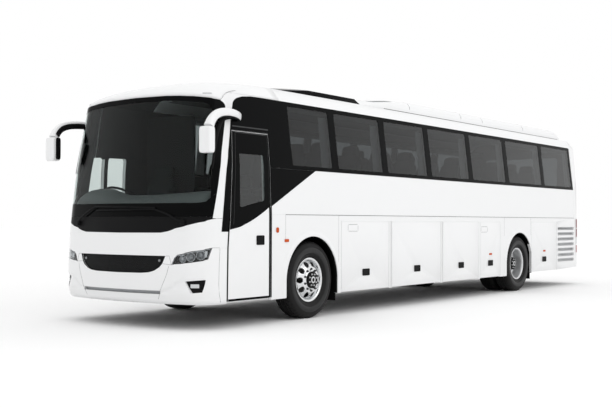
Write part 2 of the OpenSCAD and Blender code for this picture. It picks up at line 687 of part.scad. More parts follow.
// A cylinder of the crown's radius, raised and tipped about a line across the roof
module tipped_crown(x, rise, tip) {
    translate([x, 0, top_z + rise]) rotate([0, tip, 0]) along_x(-far, far)
        translate([0, -crown_r]) circle(r = crown_r, $fn = crown_fn);
}
module off_crown(x1, x0) {
    difference() {
        children();
        along_x(x1 - 10, x0 + 10) translate([0, top_z - crown_r]) circle(r = crown_r + seat, $fn = crown_fn);
    }
}
module ac_unit() {
    section = concat(AC_HALF, [for (k = [len(AC_HALF) - 1:-1:0]) [-AC_HALF[k][0], AC_HALF[k][1]]]);
    color(white) off_crown(AC[1], AC[0]) intersection() {
        along_x(AC[1], AC[0]) polygon(section);
        tipped_crown(AC[0], 3, 10.5);
        tipped_crown(AC[0] - 430, 82, 6);
        tipped_crown(AC[1], 40, -30);
    }
}
module roof_hatch() {
    color(black) off_crown(POD[1], POD[0]) intersection() {
        along_x(POD[1], POD[0]) intersection() {
            translate([0, top_z - crown_r]) circle(r = crown_r + pod_t, $fn = crown_fn);
            polygon([[-pod_hw, edge_z - 40], [pod_hw, edge_z - 40], [pod_hw - 30, top_z + 2 * pod_t],
                [30 - pod_hw, top_z + 2 * pod_t]]);
        }
        tipped_crown(POD[0], 3, 5.5);
        tipped_crown(POD[1], 12, -25);
    }
}

// Floors: the saloon deck over the luggage floor, with bulkheads between them
deck_t = 50;
deck_front_x = 760;
bay_floor_t = 40;
bay_hw = half_w - panel_t - 10;
module floor_structure() {
    color("gray") {
        block([rear_cap_x + 60, deck_front_x], [-half_w + panel_t + seat, half_w - panel_t - seat],
            [deck_z - deck_t, deck_z]);
        block([BULKHEADS[4] - bulkhead_t / 2, BULKHEADS[0] + bulkhead_t / 2], [-bay_hw, bay_hw],
            [bay_z - bay_floor_t, bay_z]);
    }
}
module bulkheads() {
    color("gray") for (k = [0:len(BULKHEADS) - 1]) let (x = BULKHEADS[k])
        block([x - bulkhead_t / 2, x + bulkhead_t / 2], [-bay_hw, bay_hw],
            [k == len(BULKHEADS) - 1 ? rear_rail_z[1] + seat : bay_z + seat, deck_z - deck_t - seat]);
}
// Driver's platform below the front of the deck, steps down to the door and the panel beside them
platform_y = 440;
platform_t = 50;
platform_front_x = 1900;
riser_t = 40;
steps = 3;
step_x = [door_rear_x + 15, 1690];
module entrance_floor() {
    step_h = (platform_z - step_z) / steps;
    step_w = (half_w - 55 - platform_y - 20) / steps;
    color("gray") {
        block([deck_front_x + seat, deck_front_x + riser_t], [-half_w + 70, platform_y], [platform_z + seat, deck_z]);
        block([deck_front_x - riser_t, platform_front_x], [-half_w + 150, platform_y - riser_t - seat],
            [platform_z - platform_t, platform_z]);
        for (k = [0:steps - 1]) {
            y = platform_y + k * step_w;
            z = platform_z - k * step_h;
            block(step_x, [y - riser_t, y], [z - step_h + seat, z]);
            block(step_x, [y - riser_t, y + step_w - riser_t - seat], [z - step_h - riser_t, z - step_h]);
        }
        block([deck_front_x - riser_t, step_x[0] - seat], [rail_y[1] + 30, half_w - 60],
            [step_z - riser_t, deck_z - deck_t - seat]);
    }
}

// Chassis modules at both axles, with tow eyes and jacking pads
rail_y = [430, 510];
front_rail_x = 1980;
front_rail_z = [600, 750];
rear_rail_z = [700, 860];
tow_r = 20;
tow_z = [400, 440];
tow_front_x = 2150;
tow_rear_x = rear_x + 150;
pad = 120;
pad_h = 20;
module rails(x0, x1, z) {
    for (s = [-1, 1]) on_side(s) block([x0, x1], rail_y, z);
    for (x = [x0 + 60, x1 - 60]) block([x - 60, x + 60], [-rail_y[1], rail_y[1]], z);
}
module tow_eye(x, reach, z) {
    difference() {
        union() {
            post(x, 0, tow_z[0], tow_z[1], 60);
            block([min(x, reach), max(x, reach)], [-40, 40], tow_z);
            block([reach - 30, reach + 30], [-40, 40], [tow_z[0], z]);
        }
        post(x, 0, tow_z[0] - 1, tow_z[1] + 1, tow_r);
    }
}
module chassis_frame() {
    rear0 = rear_x + 260;
    color("dimgray") {
        rails(-house_reach + seat, front_rail_x, front_rail_z);
        tow_eye(tow_front_x, front_rail_x - 30, front_rail_z[0] + 1);
        rails(rear0, rear_axle_x + house_reach - seat, rear_rail_z);
        tow_eye(tow_rear_x, rear0 + 30, rear_rail_z[0] + 1);
        for (s = [-1, 1]) on_side(s) {
            block([-500 - pad / 2, -500 + pad / 2], rail_y,
                [front_rail_z[0] - pad_h, front_rail_z[0] + 1]);
            block([rear_axle_x - 800 - pad / 2, rear_axle_x - 800 + pad / 2], rail_y,
                [rear_rail_z[0] - pad_h, rear_rail_z[0] + 1]);
        }
    }
}
engine_z = [480, 1180];
engine_x = [rear_x + 420, rear_axle_x - house_reach - 100];
module engine() {
    color("slategray") block(engine_x, [-rail_y[0] + seat, rail_y[0] - seat], engine_z);
}

// Axles, knuckles and wheels
pin_r = 22;
boss_z = [430, 614];
module front_axle() {
    color("dimgray") {
        block([-60, 60], [-kingpin_y + 110, kingpin_y - 110], [400, 500]);
        for (s = [-1, 1]) on_side(s) {
            for (z = [[boss_z[0] - 40, boss_z[0] - seat], [boss_z[1] + seat, boss_z[1] + 40]]) {
                block([-55, 55], [kingpin_y - 130, kingpin_y], z);
                post(0, kingpin_y, z[0], z[1], 55);
            }
            block([-60, 60], [kingpin_y - 150, kingpin_y - 80], [boss_z[0] - 40, boss_z[1] + 40]);
            post(0, kingpin_y, boss_z[0] - 40, boss_z[1] + 40, pin_r);
            post(0, (rail_y[0] + rail_y[1]) / 2, 500 - 1, front_rail_z[0] - seat, 40);
        }
    }
}
module knuckle(s) {
    on_side(s) difference() {
        union() {
            post(0, kingpin_y, boss_z[0], boss_z[1], 55);
            spindle(0, wheel_r, kingpin_y, front_wheel_y + 100, spindle_r);
            spindle(0, wheel_r, kingpin_y + 61, front_wheel_y - 64, 190);
        }
        post(0, kingpin_y, boss_z[0] - 1, boss_z[1] + 1, pin_r + run);
    }
}
module knuckle_left() {
    color("gray") knuckle(1);
}
module knuckle_right() {
    color("gray") knuckle(-1);
}
rear_spindle_r = spindle_r + 20;
module rear_axle() {
    color("dimgray") {
        spindle(rear_axle_x, wheel_r, -rear_wheel_y - 150, rear_wheel_y + 150, rear_spindle_r);
        spindle(rear_axle_x, wheel_r, -house_in_y, house_in_y, 90);
        translate([rear_axle_x, 0, wheel_r]) sphere(200);
        for (s = [-1, 1]) post(rear_axle_x, s * (rail_y[0] + rail_y[1]) / 2, wheel_r, rear_rail_z[0] - seat, 45);
    }
}
// A wheel stands on its axle's line with its outer side along +Y
module wheel_at(x, y, s) {
    on_side(s) translate([x, y, wheel_r]) rotate([-90, 0, 0]) children();
}
bead_r = rim_d / 2 - 13;
module tyre(h) {
    w = tyre_w / 2;
    translate([0, 0, h]) rotate_extrude() polygon([[bead_r + seat, -99], [bead_r + 14, -99],
        [bead_r + 30, -w + 28], [bead_r + 70, -w + 6], [bead_r + 120, -w], [wheel_r - 60, -w + 10], [wheel_r - 15, -w + 28],
        [wheel_r, -w + 55], [wheel_r, w - 55], [wheel_r - 15, w - 28], [wheel_r - 60, w - 10],
        [bead_r + 120, w], [bead_r + 70, w - 6], [bead_r + 30, w - 28], [bead_r + 14, 99],
        [bead_r + seat, 99]]);
}
module rim_barrel(h) {
    f = rim_d / 2;
    translate([0, 0, h]) rotate_extrude() polygon([[f - 26, -112], [f, -112], [f, -104],
        [bead_r, -100], [bead_r, 100], [f, 104], [f, 112], [f - 26, 112], [f - 34, 80],
        [f - 40, 0], [f - 34, -80]]);
}
disc_r = rim_d / 2 - 34;
hand_holes = 10;
hole_ring_r = 212;
hole_r = 40;
module front_rim() {
    difference() {
        union() {
            rim_barrel(0);
            rotate_extrude() polygon([[disc_r + 2, 30], [disc_r + 2, 58], [245, 92], [210, 122], [178, 142],
                [165, 146], [110, 146], [104, 160], [60, 170], [0, 172], [0, 104], [spindle_r + run, 104],
                [spindle_r + run, -60], [112, -60], [112, 128], [160, 130], [202, 106], [236, 74],
                [disc_r - 6, 30]]);
        }
        for (k = [0:hand_holes - 1]) rotate(k * 360 / hand_holes) translate([hole_ring_r, 0, -40])
            cylinder(r = hole_r, h = 180);
    }
}
module rear_rim() {
    difference() {
        union() {
            for (h = [-1, 1]) rim_barrel(h * twin_pitch / 2);
            rotate_extrude() polygon([[disc_r + 2, 62], [disc_r + 2, 90], [disc_r - 10, 90], [225, 22],
                [160, 18], [160, 40], [125, 150], [110, 215], [60, 225], [0, 225], [0, 156],
                [rear_spindle_r + run, 156], [rear_spindle_r + run, -120], [140, -120], [160, -18], [225, -22],
                [disc_r - 10, -90], [disc_r + 2, -90], [disc_r + 2, -62], [235, 0]]);
        }
        for (k = [0:hand_holes - 1]) rotate(k * 360 / hand_holes) translate([hole_ring_r, 0, -90])
            cylinder(r = hole_r, h = 180);
    }
}
module front_tyre_node(s) {
    color(black) wheel_at(0, front_wheel_y, s) tyre(0);
}
module rear_tyre_node(s) {
    color(black) wheel_at(rear_axle_x, rear_wheel_y, s) for (h = [-1, 1]) tyre(h * twin_pitch / 2);
}
module front_rim_node(s) {
    color("silver") wheel_at(0, front_wheel_y, s) front_rim();
}
module rear_rim_node(s) {
    color("silver") wheel_at(rear_axle_x, rear_wheel_y, s) rear_rim();
}

// Driver's place
driver_y = -700;
steer_mid = [1600, driver_y, 1650];
wheel_tilt = 28;
column_r = 30;
module on_column() {
    translate(steer_mid) rotate([0, -wheel_tilt, 0]) children();
}
dash_x = [1640, 2080];
dash_y = [-1100, 380];
dash_top_z = 1440;
module dashboard() {
    color(black) difference() {
        along_y(dash_y[0], dash_y[1]) polygon([[dash_x[0], platform_z + seat], [dash_x[1] - 120, platform_z + seat],
            [dash_x[1], dash_top_z - 260], [dash_x[1], dash_top_z - 110], [dash_x[1] - 180, dash_top_z],
            [dash_x[0] + 60, dash_top_z - 20], [dash_x[0], dash_top_z - 140]]);
        on_column() translate([0, 0, -360]) cylinder(r = column_r + seat, h = 360);
    }
}
module steering_wheel() {
    color(black) on_column() {
        rotate_extrude() translate([225, 0]) circle(16);
        for (k = [0:2]) rotate(90 + k * 120) translate([0, -14, -8]) cube([225, 28, 16]);
        translate([0, 0, -30]) cylinder(r = 60, h = 45);
        translate([0, 0, -350]) cylinder(r = column_r, h = 330);
    }
}
module chair(w) {
    along_y(-w / 2, w / 2) polygon([[0, 0], [420, 0], [420, 60], [300, 60], [300, 330], [470, 350],
        [470, 450], [110, 460], [-70, 1080], [-170, 1080], [-20, 430], [60, 330], [100, 60], [0, 60]]);
}
module driver_seat() {
    color("dimgray") translate([900, driver_y, platform_z]) chair(500);
}
rows = 10;
row_pitch = 800;
first_row_x = -300;
seat_y = [260, 1120];
module passenger_seats() {
    color("dimgray") for (s = [-1, 1], k = [0:rows - 1])
        translate([first_row_x - k * row_pitch - 300, s * (seat_y[0] + seat_y[1]) / 2, deck_z])
            chair(seat_y[1] - seat_y[0]);
}
rack_z = [2780, 2850];
module parcel_racks() {
    out = function(z) skin_hw(z) - wall - seat;
    color("gray") for (s = [-1, 1]) on_side(s) along_x(rear_cap_x + 80, 300)
        polygon([[780, rack_z[0] + 40], [840, rack_z[0]], [out(rack_z[0]), rack_z[0]],
            [out(rack_z[1]), rack_z[1]], [out(rack_z[1]) - 30, rack_z[1]], [out(rack_z[1]) - 60, rack_z[0] + 30],
            [850, rack_z[0] + 30], [790, rack_z[1]], [780, rack_z[1]]]);
}
curtain_w = 190;
curtain_t = 20;
module curtains() {
    out = wall + 12;
    top = (rack_z[0] - seat - sill_z + out * sin(lean)) / cos(lean);
    color("lightgray") for (s = [-1, 1], k = [1:len(PANES) - 1])
        on_side(s) window_plane()
            block([PANES[k] + 30, PANES[k] + 30 + curtain_w], [-out - curtain_t, -out], [20, top]);
}

module in_frame() {
    translate([-frame_x, 0, 0]) children();
}

in_frame() chassis_frame();
in_frame() floor_structure();
in_frame() bulkheads();
in_frame() entrance_floor();
in_frame() front_mask();
in_frame() front_bumper();
in_frame() grille();
in_frame() front_lamps();
in_frame() wiper_cowl();
in_frame() windscreen();
in_frame() wipers();
in_frame() roof();
in_frame() roof_dome();
in_frame() side_wall_left();
in_frame() side_wall_right();
in_frame() skirt_panels();
in_frame() side_windows();
in_frame() rear_panel();
in_frame() rear_window();
in_frame() tail_lamps();
in_frame() marker_lamps();
in_frame() wheel_housings();
in_frame() mirror_arms();
in_frame() mirror_heads();
in_frame() ac_unit();
in_frame() roof_hatch();
in_frame() dashboard();
in_frame() steering_wheel();
in_frame() driver_seat();
in_frame() passenger_seats();
in_frame() parcel_racks();
in_frame() curtains();
in_frame() front_axle();
in_frame() rear_axle();
in_frame() engine();
in_frame() knuckle_left();
in_frame() knuckle_right();
in_frame() front_tyre_node(1);  // tyre_front_left
in_frame() front_tyre_node(-1);  // tyre_front_right
in_frame() front_rim_node(1);  // rim_front_left
in_frame() front_rim_node(-1);  // rim_front_right
in_frame() rear_tyre_node(1);  // tyre_rear_left
in_frame() rear_tyre_node(-1);  // tyre_rear_right
in_frame() rear_rim_node(1);  // rim_rear_left
in_frame() rear_rim_node(-1);  // rim_rear_right
in_frame() door_leaf();
in_frame() door_glass();
in_frame() door_arms();
in_frame() flap_node(1, 0);  // flap_left_1
in_frame() flap_node(1, 1);  // flap_left_2
in_frame() flap_node(1, 2);  // flap_left_3
in_frame() flap_node(1, 3);  // flap_left_4
in_frame() flap_node(1, 4);  // flap_left_5
in_frame() flap_node(-1, 0);  // flap_right_1
in_frame() flap_node(-1, 1);  // flap_right_2
in_frame() flap_node(-1, 2);  // flap_right_3
in_frame() flap_node(-1, 3);  // flap_right_4
in_frame() flap_node(-1, 4);  // flap_right_5
in_frame() engine_door();
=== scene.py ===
# %% [markdown]
# # A touring coach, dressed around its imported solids
# The frame holds every solid of the coach at its real size, in metres. X points forward,
# Y to the coach's left and Z up. Flat panels are smooth copies of their solids, curved skins
# are lofted again with more points, and soft or fine pieces are made here.

import json
import math

import bmesh
import bpy
import numpy as np
from mathutils import Matrix, Vector
from mathutils.bvhtree import BVHTree

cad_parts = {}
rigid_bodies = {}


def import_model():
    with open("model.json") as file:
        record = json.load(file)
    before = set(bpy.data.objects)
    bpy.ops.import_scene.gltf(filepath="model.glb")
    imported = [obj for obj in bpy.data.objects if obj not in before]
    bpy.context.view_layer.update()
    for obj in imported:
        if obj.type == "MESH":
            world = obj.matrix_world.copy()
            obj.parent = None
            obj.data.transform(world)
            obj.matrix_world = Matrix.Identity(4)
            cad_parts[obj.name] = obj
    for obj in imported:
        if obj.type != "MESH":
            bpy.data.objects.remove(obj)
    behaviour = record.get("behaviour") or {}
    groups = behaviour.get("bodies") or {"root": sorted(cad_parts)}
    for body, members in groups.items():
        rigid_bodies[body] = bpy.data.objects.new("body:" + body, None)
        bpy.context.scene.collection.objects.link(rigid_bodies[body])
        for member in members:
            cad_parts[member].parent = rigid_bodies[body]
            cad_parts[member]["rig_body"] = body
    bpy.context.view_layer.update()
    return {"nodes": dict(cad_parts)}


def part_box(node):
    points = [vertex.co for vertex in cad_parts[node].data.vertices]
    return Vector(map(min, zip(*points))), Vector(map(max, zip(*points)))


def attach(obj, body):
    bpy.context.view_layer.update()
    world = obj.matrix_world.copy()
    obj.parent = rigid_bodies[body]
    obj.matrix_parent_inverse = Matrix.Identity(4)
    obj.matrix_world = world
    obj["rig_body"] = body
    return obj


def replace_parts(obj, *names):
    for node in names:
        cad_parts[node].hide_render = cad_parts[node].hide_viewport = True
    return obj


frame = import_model()
NODES = frame["nodes"]
scene = bpy.context.scene

# %% [markdown]
# ## Stations and the side of the body
# The drawing counts lengths from the front axle, so one shift brings a station into the
# frame. The side is upright to the belt, leans a little to the sill and more above it, and
# every trim on the side takes its depth from that one rule.

# %% Stations
FRONT_AXLE_X = 3.695
REAR_AXLE_X = FRONT_AXLE_X - 6.7
WHEEL_Z = 0.522
HALF_W, BELT_Z, SILL_Z, CANT_Z = 1.3, 1.4, 2.0, 2.9
SIDE_Z = (0.0, BELT_Z, SILL_Z, CANT_Z)
SIDE_Y = (HALF_W, HALF_W, HALF_W - 0.02, HALF_W - 0.11)
SIDES = (("left", 1), ("right", -1))


def station(x):
    return x + FRONT_AXLE_X


def side_y(z):
    return float(np.interp(z, SIDE_Z, SIDE_Y))


print("front axle at", FRONT_AXLE_X, "side at the top of the wall", side_y(CANT_Z))

# %% [markdown]
# ## Shared surface effects
# Dust, moulded grain and cloth weave turn up in several finishes. Each is one node group with
# named sockets, placed in a material with its own values. A group only puts out masks and
# heights that change over the surface. Plain numbers stay on the shader. An image could do
# the same, but noise needs no file and no unwrapped faces.


# %% Node groups
def join(tree, node, sockets):
    """Fill the sockets of a node: each takes a value, or is linked to another node's output."""
    for label, value in sockets.items():
        if isinstance(value, bpy.types.NodeSocket):
            tree.links.new(value, node.inputs[label])
        else:
            node.inputs[label].default_value = value


def add_node(tree, kind, sockets=None, **settings):
    node = tree.nodes.new(kind)
    for label, value in settings.items():
        setattr(node, label, value)
    join(tree, node, sockets or {})
    return node


def math_node(tree, operation, a, b):
    return add_node(tree, "ShaderNodeMath", {0: a, 1: b}, operation=operation).outputs[0]


def noise_node(tree, coords, scale, detail):
    sockets = {"Detail": detail, "Scale": scale, "Vector": coords}
    return add_node(tree, "ShaderNodeTexNoise", sockets).outputs["Fac"]


def new_group(name, inputs, outputs):
    group = bpy.data.node_groups.new(name, "ShaderNodeTree")
    for label, value in inputs.items():
        socket = group.interface.new_socket(label, in_out="INPUT", socket_type="NodeSocketFloat")
        socket.default_value = value
    for label in outputs:
        group.interface.new_socket(label, in_out="OUTPUT", socket_type="NodeSocketFloat")
    coords = add_node(group, "ShaderNodeTexCoord").outputs["Object"]
    return group, add_node(group, "NodeGroupInput").outputs, coords


def make_dust_group():
    group, given, coords = new_group("road_dust", {"Top": 0.9, "Patch Size": 3.0}, ["Mask"])
    split = add_node(group, "ShaderNodeSeparateXYZ", {0: coords})
    height = math_node(group, "DIVIDE", split.outputs["Z"], given["Top"])
    fade = math_node(group, "MAXIMUM", math_node(group, "SUBTRACT", 1.0, height), 0.0)
    cloud = noise_node(group, coords, given["Patch Size"], 6.0)
    add_node(group, "NodeGroupOutput", {"Mask": math_node(group, "MULTIPLY", fade, cloud)})
    return group


def make_grain_group():
    group, given, coords = new_group("moulded_grain", {"Scale": 300.0}, ["Height", "Cloud"])
    add_node(group, "NodeGroupOutput", {"Height": noise_node(group, coords, given["Scale"], 2.0),
                                        "Cloud": noise_node(group, coords, 2.3, 4.0)})
    return group


def make_weave_group():
    group, given, coords = new_group("cloth_weave", {"Scale": 260.0}, ["Height", "Thread"])
    sockets = {"Distortion": 0.6, "Scale": given["Scale"], "Vector": coords}
    waves = [add_node(group, "ShaderNodeTexWave", sockets, bands_direction=way).outputs["Fac"]
             for way in ("X", "Z")]
    add_node(group, "NodeGroupOutput", {"Height": math_node(group, "MAXIMUM", *waves),
                                        "Thread": noise_node(group, coords, 40.0, 5.0)})
    return group


DUST, GRAIN, WEAVE = make_dust_group(), make_grain_group(), make_weave_group()
print("node groups:", DUST.name, GRAIN.name, WEAVE.name)

# %% [markdown]
# ## Finishes
# Gloss paint is a white base under a clear coat with a trace of dust near the road. Black
# trims differ in gloss and grain. Metals vary in roughness, and glass is plain and tinted.
# Pictures of surfaces would show their edges on such large panels, so nodes make them all.


# %% Materials
COAT_ROUGH = 0.04
SOIL = (0.34, 0.31, 0.27, 1)


def place_group(tree, group, **values):
    return add_node(tree, "ShaderNodeGroup", values, node_tree=group).outputs


def mix_colors(tree, share, a, b):
    return add_node(tree, "ShaderNodeMix", {0: share, 6: a, 7: b}, data_type="RGBA").outputs[2]


def two_tones(tree, cloud, color, other):
    return mix_colors(tree, cloud, (*color, 1), (*other, 1))


def new_shader(name, sockets):
    material = bpy.data.materials.new(name)
    material.use_nodes = True
    shader = material.node_tree.nodes["Principled BSDF"]
    join(material.node_tree, shader, sockets)
    return material, material.node_tree, shader


def finish(name, color, rough, spread=0.08, metallic=0.0, coat=0.0, grain=300.0, bump=0.0,
           depth=0.0005, specular=0.5, dust=0.0, dust_top=0.9, cloth=False, alternate=None):
    material, tree, shader = new_shader(name, {"Metallic": metallic, "Coat Weight": coat,
                                               "Coat Roughness": COAT_ROUGH,
                                               "Specular IOR Level": specular})
    effect = place_group(tree, WEAVE if cloth else GRAIN, Scale=grain)
    cloud = effect["Thread" if cloth else "Cloud"]
    rough_map = add_node(tree, "ShaderNodeMapRange", {"Value": cloud, "To Min": rough - spread,
                                                      "To Max": rough + spread})
    shade = two_tones(tree, cloud, color, alternate or [c * 0.9 for c in color])
    if dust:
        share = math_node(tree, "MULTIPLY", place_group(tree, DUST, Top=dust_top)["Mask"], dust)
        shade = mix_colors(tree, share, shade, SOIL)
    join(tree, shader, {"Roughness": rough_map.outputs[0], "Base Color": shade})
    if bump:
        relief = add_node(tree, "ShaderNodeBump", {"Strength": bump, "Distance": depth,
                                                   "Height": effect["Height"]})
        join(tree, shader, {"Normal": relief.outputs["Normal"]})
    return material


def tinted_glass(name, tint, ior):
    material, tree, shader = new_shader(name, {"Transmission Weight": 1.0, "Roughness": 0.0, "IOR": ior})
    cloud = place_group(tree, GRAIN, Scale=120.0)["Cloud"]
    join(tree, shader, {"Base Color": two_tones(tree, cloud, tint, [c * 0.92 for c in tint])})
    return material


print("soil colour:", SOIL)

# %% [markdown]
# ## The finishes of this coach
# A finish is a colour, a roughness and its spread, with coat, grain, bump and dust where the
# real surface has them. The values were chosen against the photograph under the light below.

# %% Finish table
PAINT = finish("gloss_white_paint", (0.86, 0.865, 0.87), 0.3, 0.02, coat=0.35, dust=0.08,
               alternate=(0.85, 0.855, 0.86))
BLACK_GLOSS = finish("gloss_black_panel", (0.0025, 0.0027, 0.0029), 0.14, 0.04, specular=0.04)
BLACK_PLASTIC = finish("grained_black_plastic", (0.0055, 0.0056, 0.006), 0.5, 0.1, bump=0.3,
                       specular=0.08, dust=0.03)
SEAM_DARK = finish("dark_seam", (0.06, 0.062, 0.065), 0.6)
RUBBER = finish("door_rubber", (0.006, 0.006, 0.006), 0.6, 0.1, grain=150.0, bump=0.2, specular=0.1)
TYRE = finish("tyre_rubber", (0.007, 0.007, 0.0075), 0.55, 0.1, grain=220.0, bump=0.3,
              depth=0.001, specular=0.16, dust=0.03, dust_top=1.1)
# The wall ring's lighter grey and higher gloss are a painted sheen on the bulge of the tyre wall.
TYRE_WALL_SHEEN = finish("tyre_wall_sheen_band", (0.013, 0.013, 0.0135), 0.45, 0.08, grain=220.0, bump=0.2, specular=0.3)
ALLOY = finish("polished_alloy", (0.82, 0.83, 0.84), 0.22, 0.08, metallic=1.0, grain=60.0,
               bump=0.05, dust=0.1, dust_top=1.0)
SILVER = finish("silver_wheel_paint", (0.74, 0.75, 0.76), 0.32, 0.08, metallic=0.75, bump=0.05,
                dust=0.2, dust_top=1.0)
NUT_STEEL = finish("nut_steel", (0.045, 0.046, 0.048), 0.34, 0.08, metallic=0.8, bump=0.05)
CHROME = finish("lamp_chrome", (0.5, 0.51, 0.52), 0.08, 0.03, metallic=1.0)
GREY_TRIM = finish("intake_grey", (0.32, 0.33, 0.34), 0.35, 0.06, metallic=0.6, bump=0.1)
DASH_GREY = finish("dash_grey", (0.1, 0.108, 0.11), 0.7, 0.08, grain=400.0, bump=0.3)
DASH_PAD = finish("dash_pad", (0.16, 0.17, 0.17), 0.75, 0.08, grain=400.0, bump=0.3, specular=0.3)
NET_GREY = finish("grille_wire", (0.03, 0.031, 0.032), 0.4, 0.08, specular=0.3)
LINE_GREY = finish("dim_trim_line", (0.028, 0.029, 0.03), 0.35, 0.06, specular=0.3)
CHASSIS = finish("chassis_black", (0.025, 0.025, 0.027), 0.6, 0.12, grain=90.0, bump=0.3,
                 depth=0.001, dust=0.5, dust_top=1.4)
FLOOR_COVER = finish("floor_covering", (0.05, 0.052, 0.055), 0.7, 0.1, bump=0.3)
TRIM = finish("saloon_trim", (0.24, 0.245, 0.25), 0.6, 0.08, grain=400.0, bump=0.25)
CAB_TRIM = finish("cab_trim", (0.02, 0.021, 0.022), 0.7, 0.08, grain=400.0, bump=0.25, specular=0.15)
SEAT_CLOTH = finish("seat_cloth", (0.014, 0.018, 0.018), 0.9, 0.06, grain=240.0, bump=0.5,
                    specular=0.1, cloth=True, alternate=(0.024, 0.029, 0.029))
CURTAIN_CLOTH = finish("curtain_cloth", (0.75, 0.76, 0.76), 0.9, 0.05, grain=300.0, bump=0.4,
                       specular=0.2, cloth=True)
RED_LENS = finish("red_lens", (0.36, 0.008, 0.01), 0.2, 0.03, specular=0.12)
TAIL_LENS = finish("tail_lens", (0.2, 0.012, 0.014), 0.4, 0.05, specular=0.02)
AMBER_LENS = finish("amber_lens", (0.6, 0.09, 0.008), 0.2, 0.03, specular=0.15, alternate=(0.48, 0.06, 0.006))
PALE_LENS = finish("pale_lens", (0.62, 0.63, 0.64), 0.2, 0.04, coat=0.4)
MIRROR = finish("mirror_silver", (0.8, 0.81, 0.82), 0.03, 0.01, metallic=1.0)
SCREEN_GLASS = tinted_glass("windscreen_glass", (0.72, 0.78, 0.77), 1.17)
PANE_GLASS = tinted_glass("side_window_glass", (0.21, 0.225, 0.23), 1.33)
CAB_GLASS = tinted_glass("cab_window_glass", (0.84, 0.87, 0.855), 1.1)
DOOR_GLASS = tinted_glass("door_window_glass", (0.4, 0.44, 0.44), 1.5)
LENS_GLASS = tinted_glass("clear_lens", (0.93, 0.95, 0.96), 1.3)

# A look is the slot of a piece and its material.
WHITE, GLOSS = ("body_white", PAINT), ("gloss_black", BLACK_GLOSS)
PLASTIC, JOINT = ("black_plastic", BLACK_PLASTIC), ("rubber", SEAM_DARK)
CAB_INSIDE = ("interior", CAB_TRIM)
print("materials:", len(bpy.data.materials))

# %% [markdown]
# ## From points to pieces
# Every piece ends the same way: a mesh at the origin with its place in its points, normals
# outwards, smooth faces with sharp edges kept, a material and a body to ride on. One function
# does it, so that no piece is left without a body.


# %% Piece helpers
WELD = 0.00002


def dress(node, material):
    NODES[node].data.materials.clear()
    NODES[node].data.materials.append(material)


def smooth(mesh, angle=35.0):
    mesh.shade_smooth()
    mesh.set_sharp_from_angle(angle=math.radians(angle))


def piece_of_mesh(name, mesh, material, angle, body):
    mesh.materials.clear()
    mesh.materials.append(material)
    smooth(mesh, angle)
    piece = bpy.data.objects.new(name, mesh)
    scene.collection.objects.link(piece)
    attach(piece, body)
    return piece


def make_piece(name, bm, slot, material, angle=35.0, body="coach", recalc=True):
    if recalc:
        bmesh.ops.remove_doubles(bm, verts=bm.verts, dist=WELD)
        bmesh.ops.recalc_face_normals(bm, faces=bm.faces)
    mesh = bpy.data.meshes.new(name)
    bm.to_mesh(mesh)
    bm.free()
    return piece_of_mesh(name, mesh, material, angle, body)


print("weld distance:", WELD)

# %% [markdown]
# ## Shapes that many pieces share
# A grid of points gives any bent sheet, a loft closes it into a tube, a sweep carries a section
# along a path and a lathe spins a profile. They build plain meshes, since modifiers would have
# to be applied one by one.


# %% Shape helpers
def add_grid(bm, rows, close_rows=False, close_cols=False):
    """Quads over a grid of points; a closed direction joins its last line to its first."""
    verts = [[bm.verts.new(p) for p in row] for row in rows]
    n, m = len(verts), len(verts[0])
    for r in range(n if close_rows else n - 1):
        for c in range(m if close_cols else m - 1):
            bm.faces.new((verts[r][c], verts[r][(c + 1) % m],
                          verts[(r + 1) % n][(c + 1) % m], verts[(r + 1) % n][c]))
    return verts


def add_loft(bm, rings):
    """A tube over rings of points, with a face over each end."""
    verts = add_grid(bm, rings, close_cols=True)
    bm.faces.new(verts[0][::-1])
    bm.faces.new(verts[-1])


def refine(node, name, slot, material, bevel=0.0, segments=2, angle=32.0):
    """A merged copy of a solid with smooth faces, and soft edges where a bevel is given."""
    bm = bmesh.new()
    bm.from_mesh(NODES[node].data)
    bmesh.ops.remove_doubles(bm, verts=bm.verts, dist=WELD)
    if bevel:
        bmesh.ops.dissolve_limit(bm, angle_limit=0.02, verts=bm.verts, edges=bm.edges)
        edges = [e for e in bm.edges if len(e.link_faces) == 2 and e.calc_face_angle() > 0.35]
        bmesh.ops.bevel(bm, geom=edges, offset=bevel, segments=segments, affect="EDGES",
                        profile=0.5, clamp_overlap=True)
    piece = make_piece(name, bm, slot, material, angle, NODES[node]["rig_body"], recalc=False)
    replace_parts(piece, node)


def per_point(value, count):
    return value if hasattr(value, "__len__") else [value] * count


def sweep(bm, path, widths, heights, up=(0, 0, 1), sides=10, power=2.6, close=False):
    """A bar along a path: a rounded section that may change its width and height."""
    path = [Vector(p) for p in path]
    n = len(path)
    rows = []
    for k, (p, w, h) in enumerate(zip(path, per_point(widths, n), per_point(heights, n))):
        before = path[k - 1] if k or close else p
        after = path[(k + 1) % n] if close or k + 1 < n else p
        ahead = (after - before).normalized()
        across = ahead.cross(Vector(up)).normalized()
        over = across.cross(ahead)
        ring = []
        for j in range(sides):
            a = 2 * math.pi * (j + 0.5) / sides
            c, s = math.cos(a), math.sin(a)
            x = math.copysign(abs(c) ** (2 / power), c) * w / 2
            y = math.copysign(abs(s) ** (2 / power), s) * h / 2
            ring.append(p + across * x + over * y)
        rows.append(ring)
    if close:
        add_grid(bm, rows, close_rows=True, close_cols=True)
    else:
        add_loft(bm, rows)


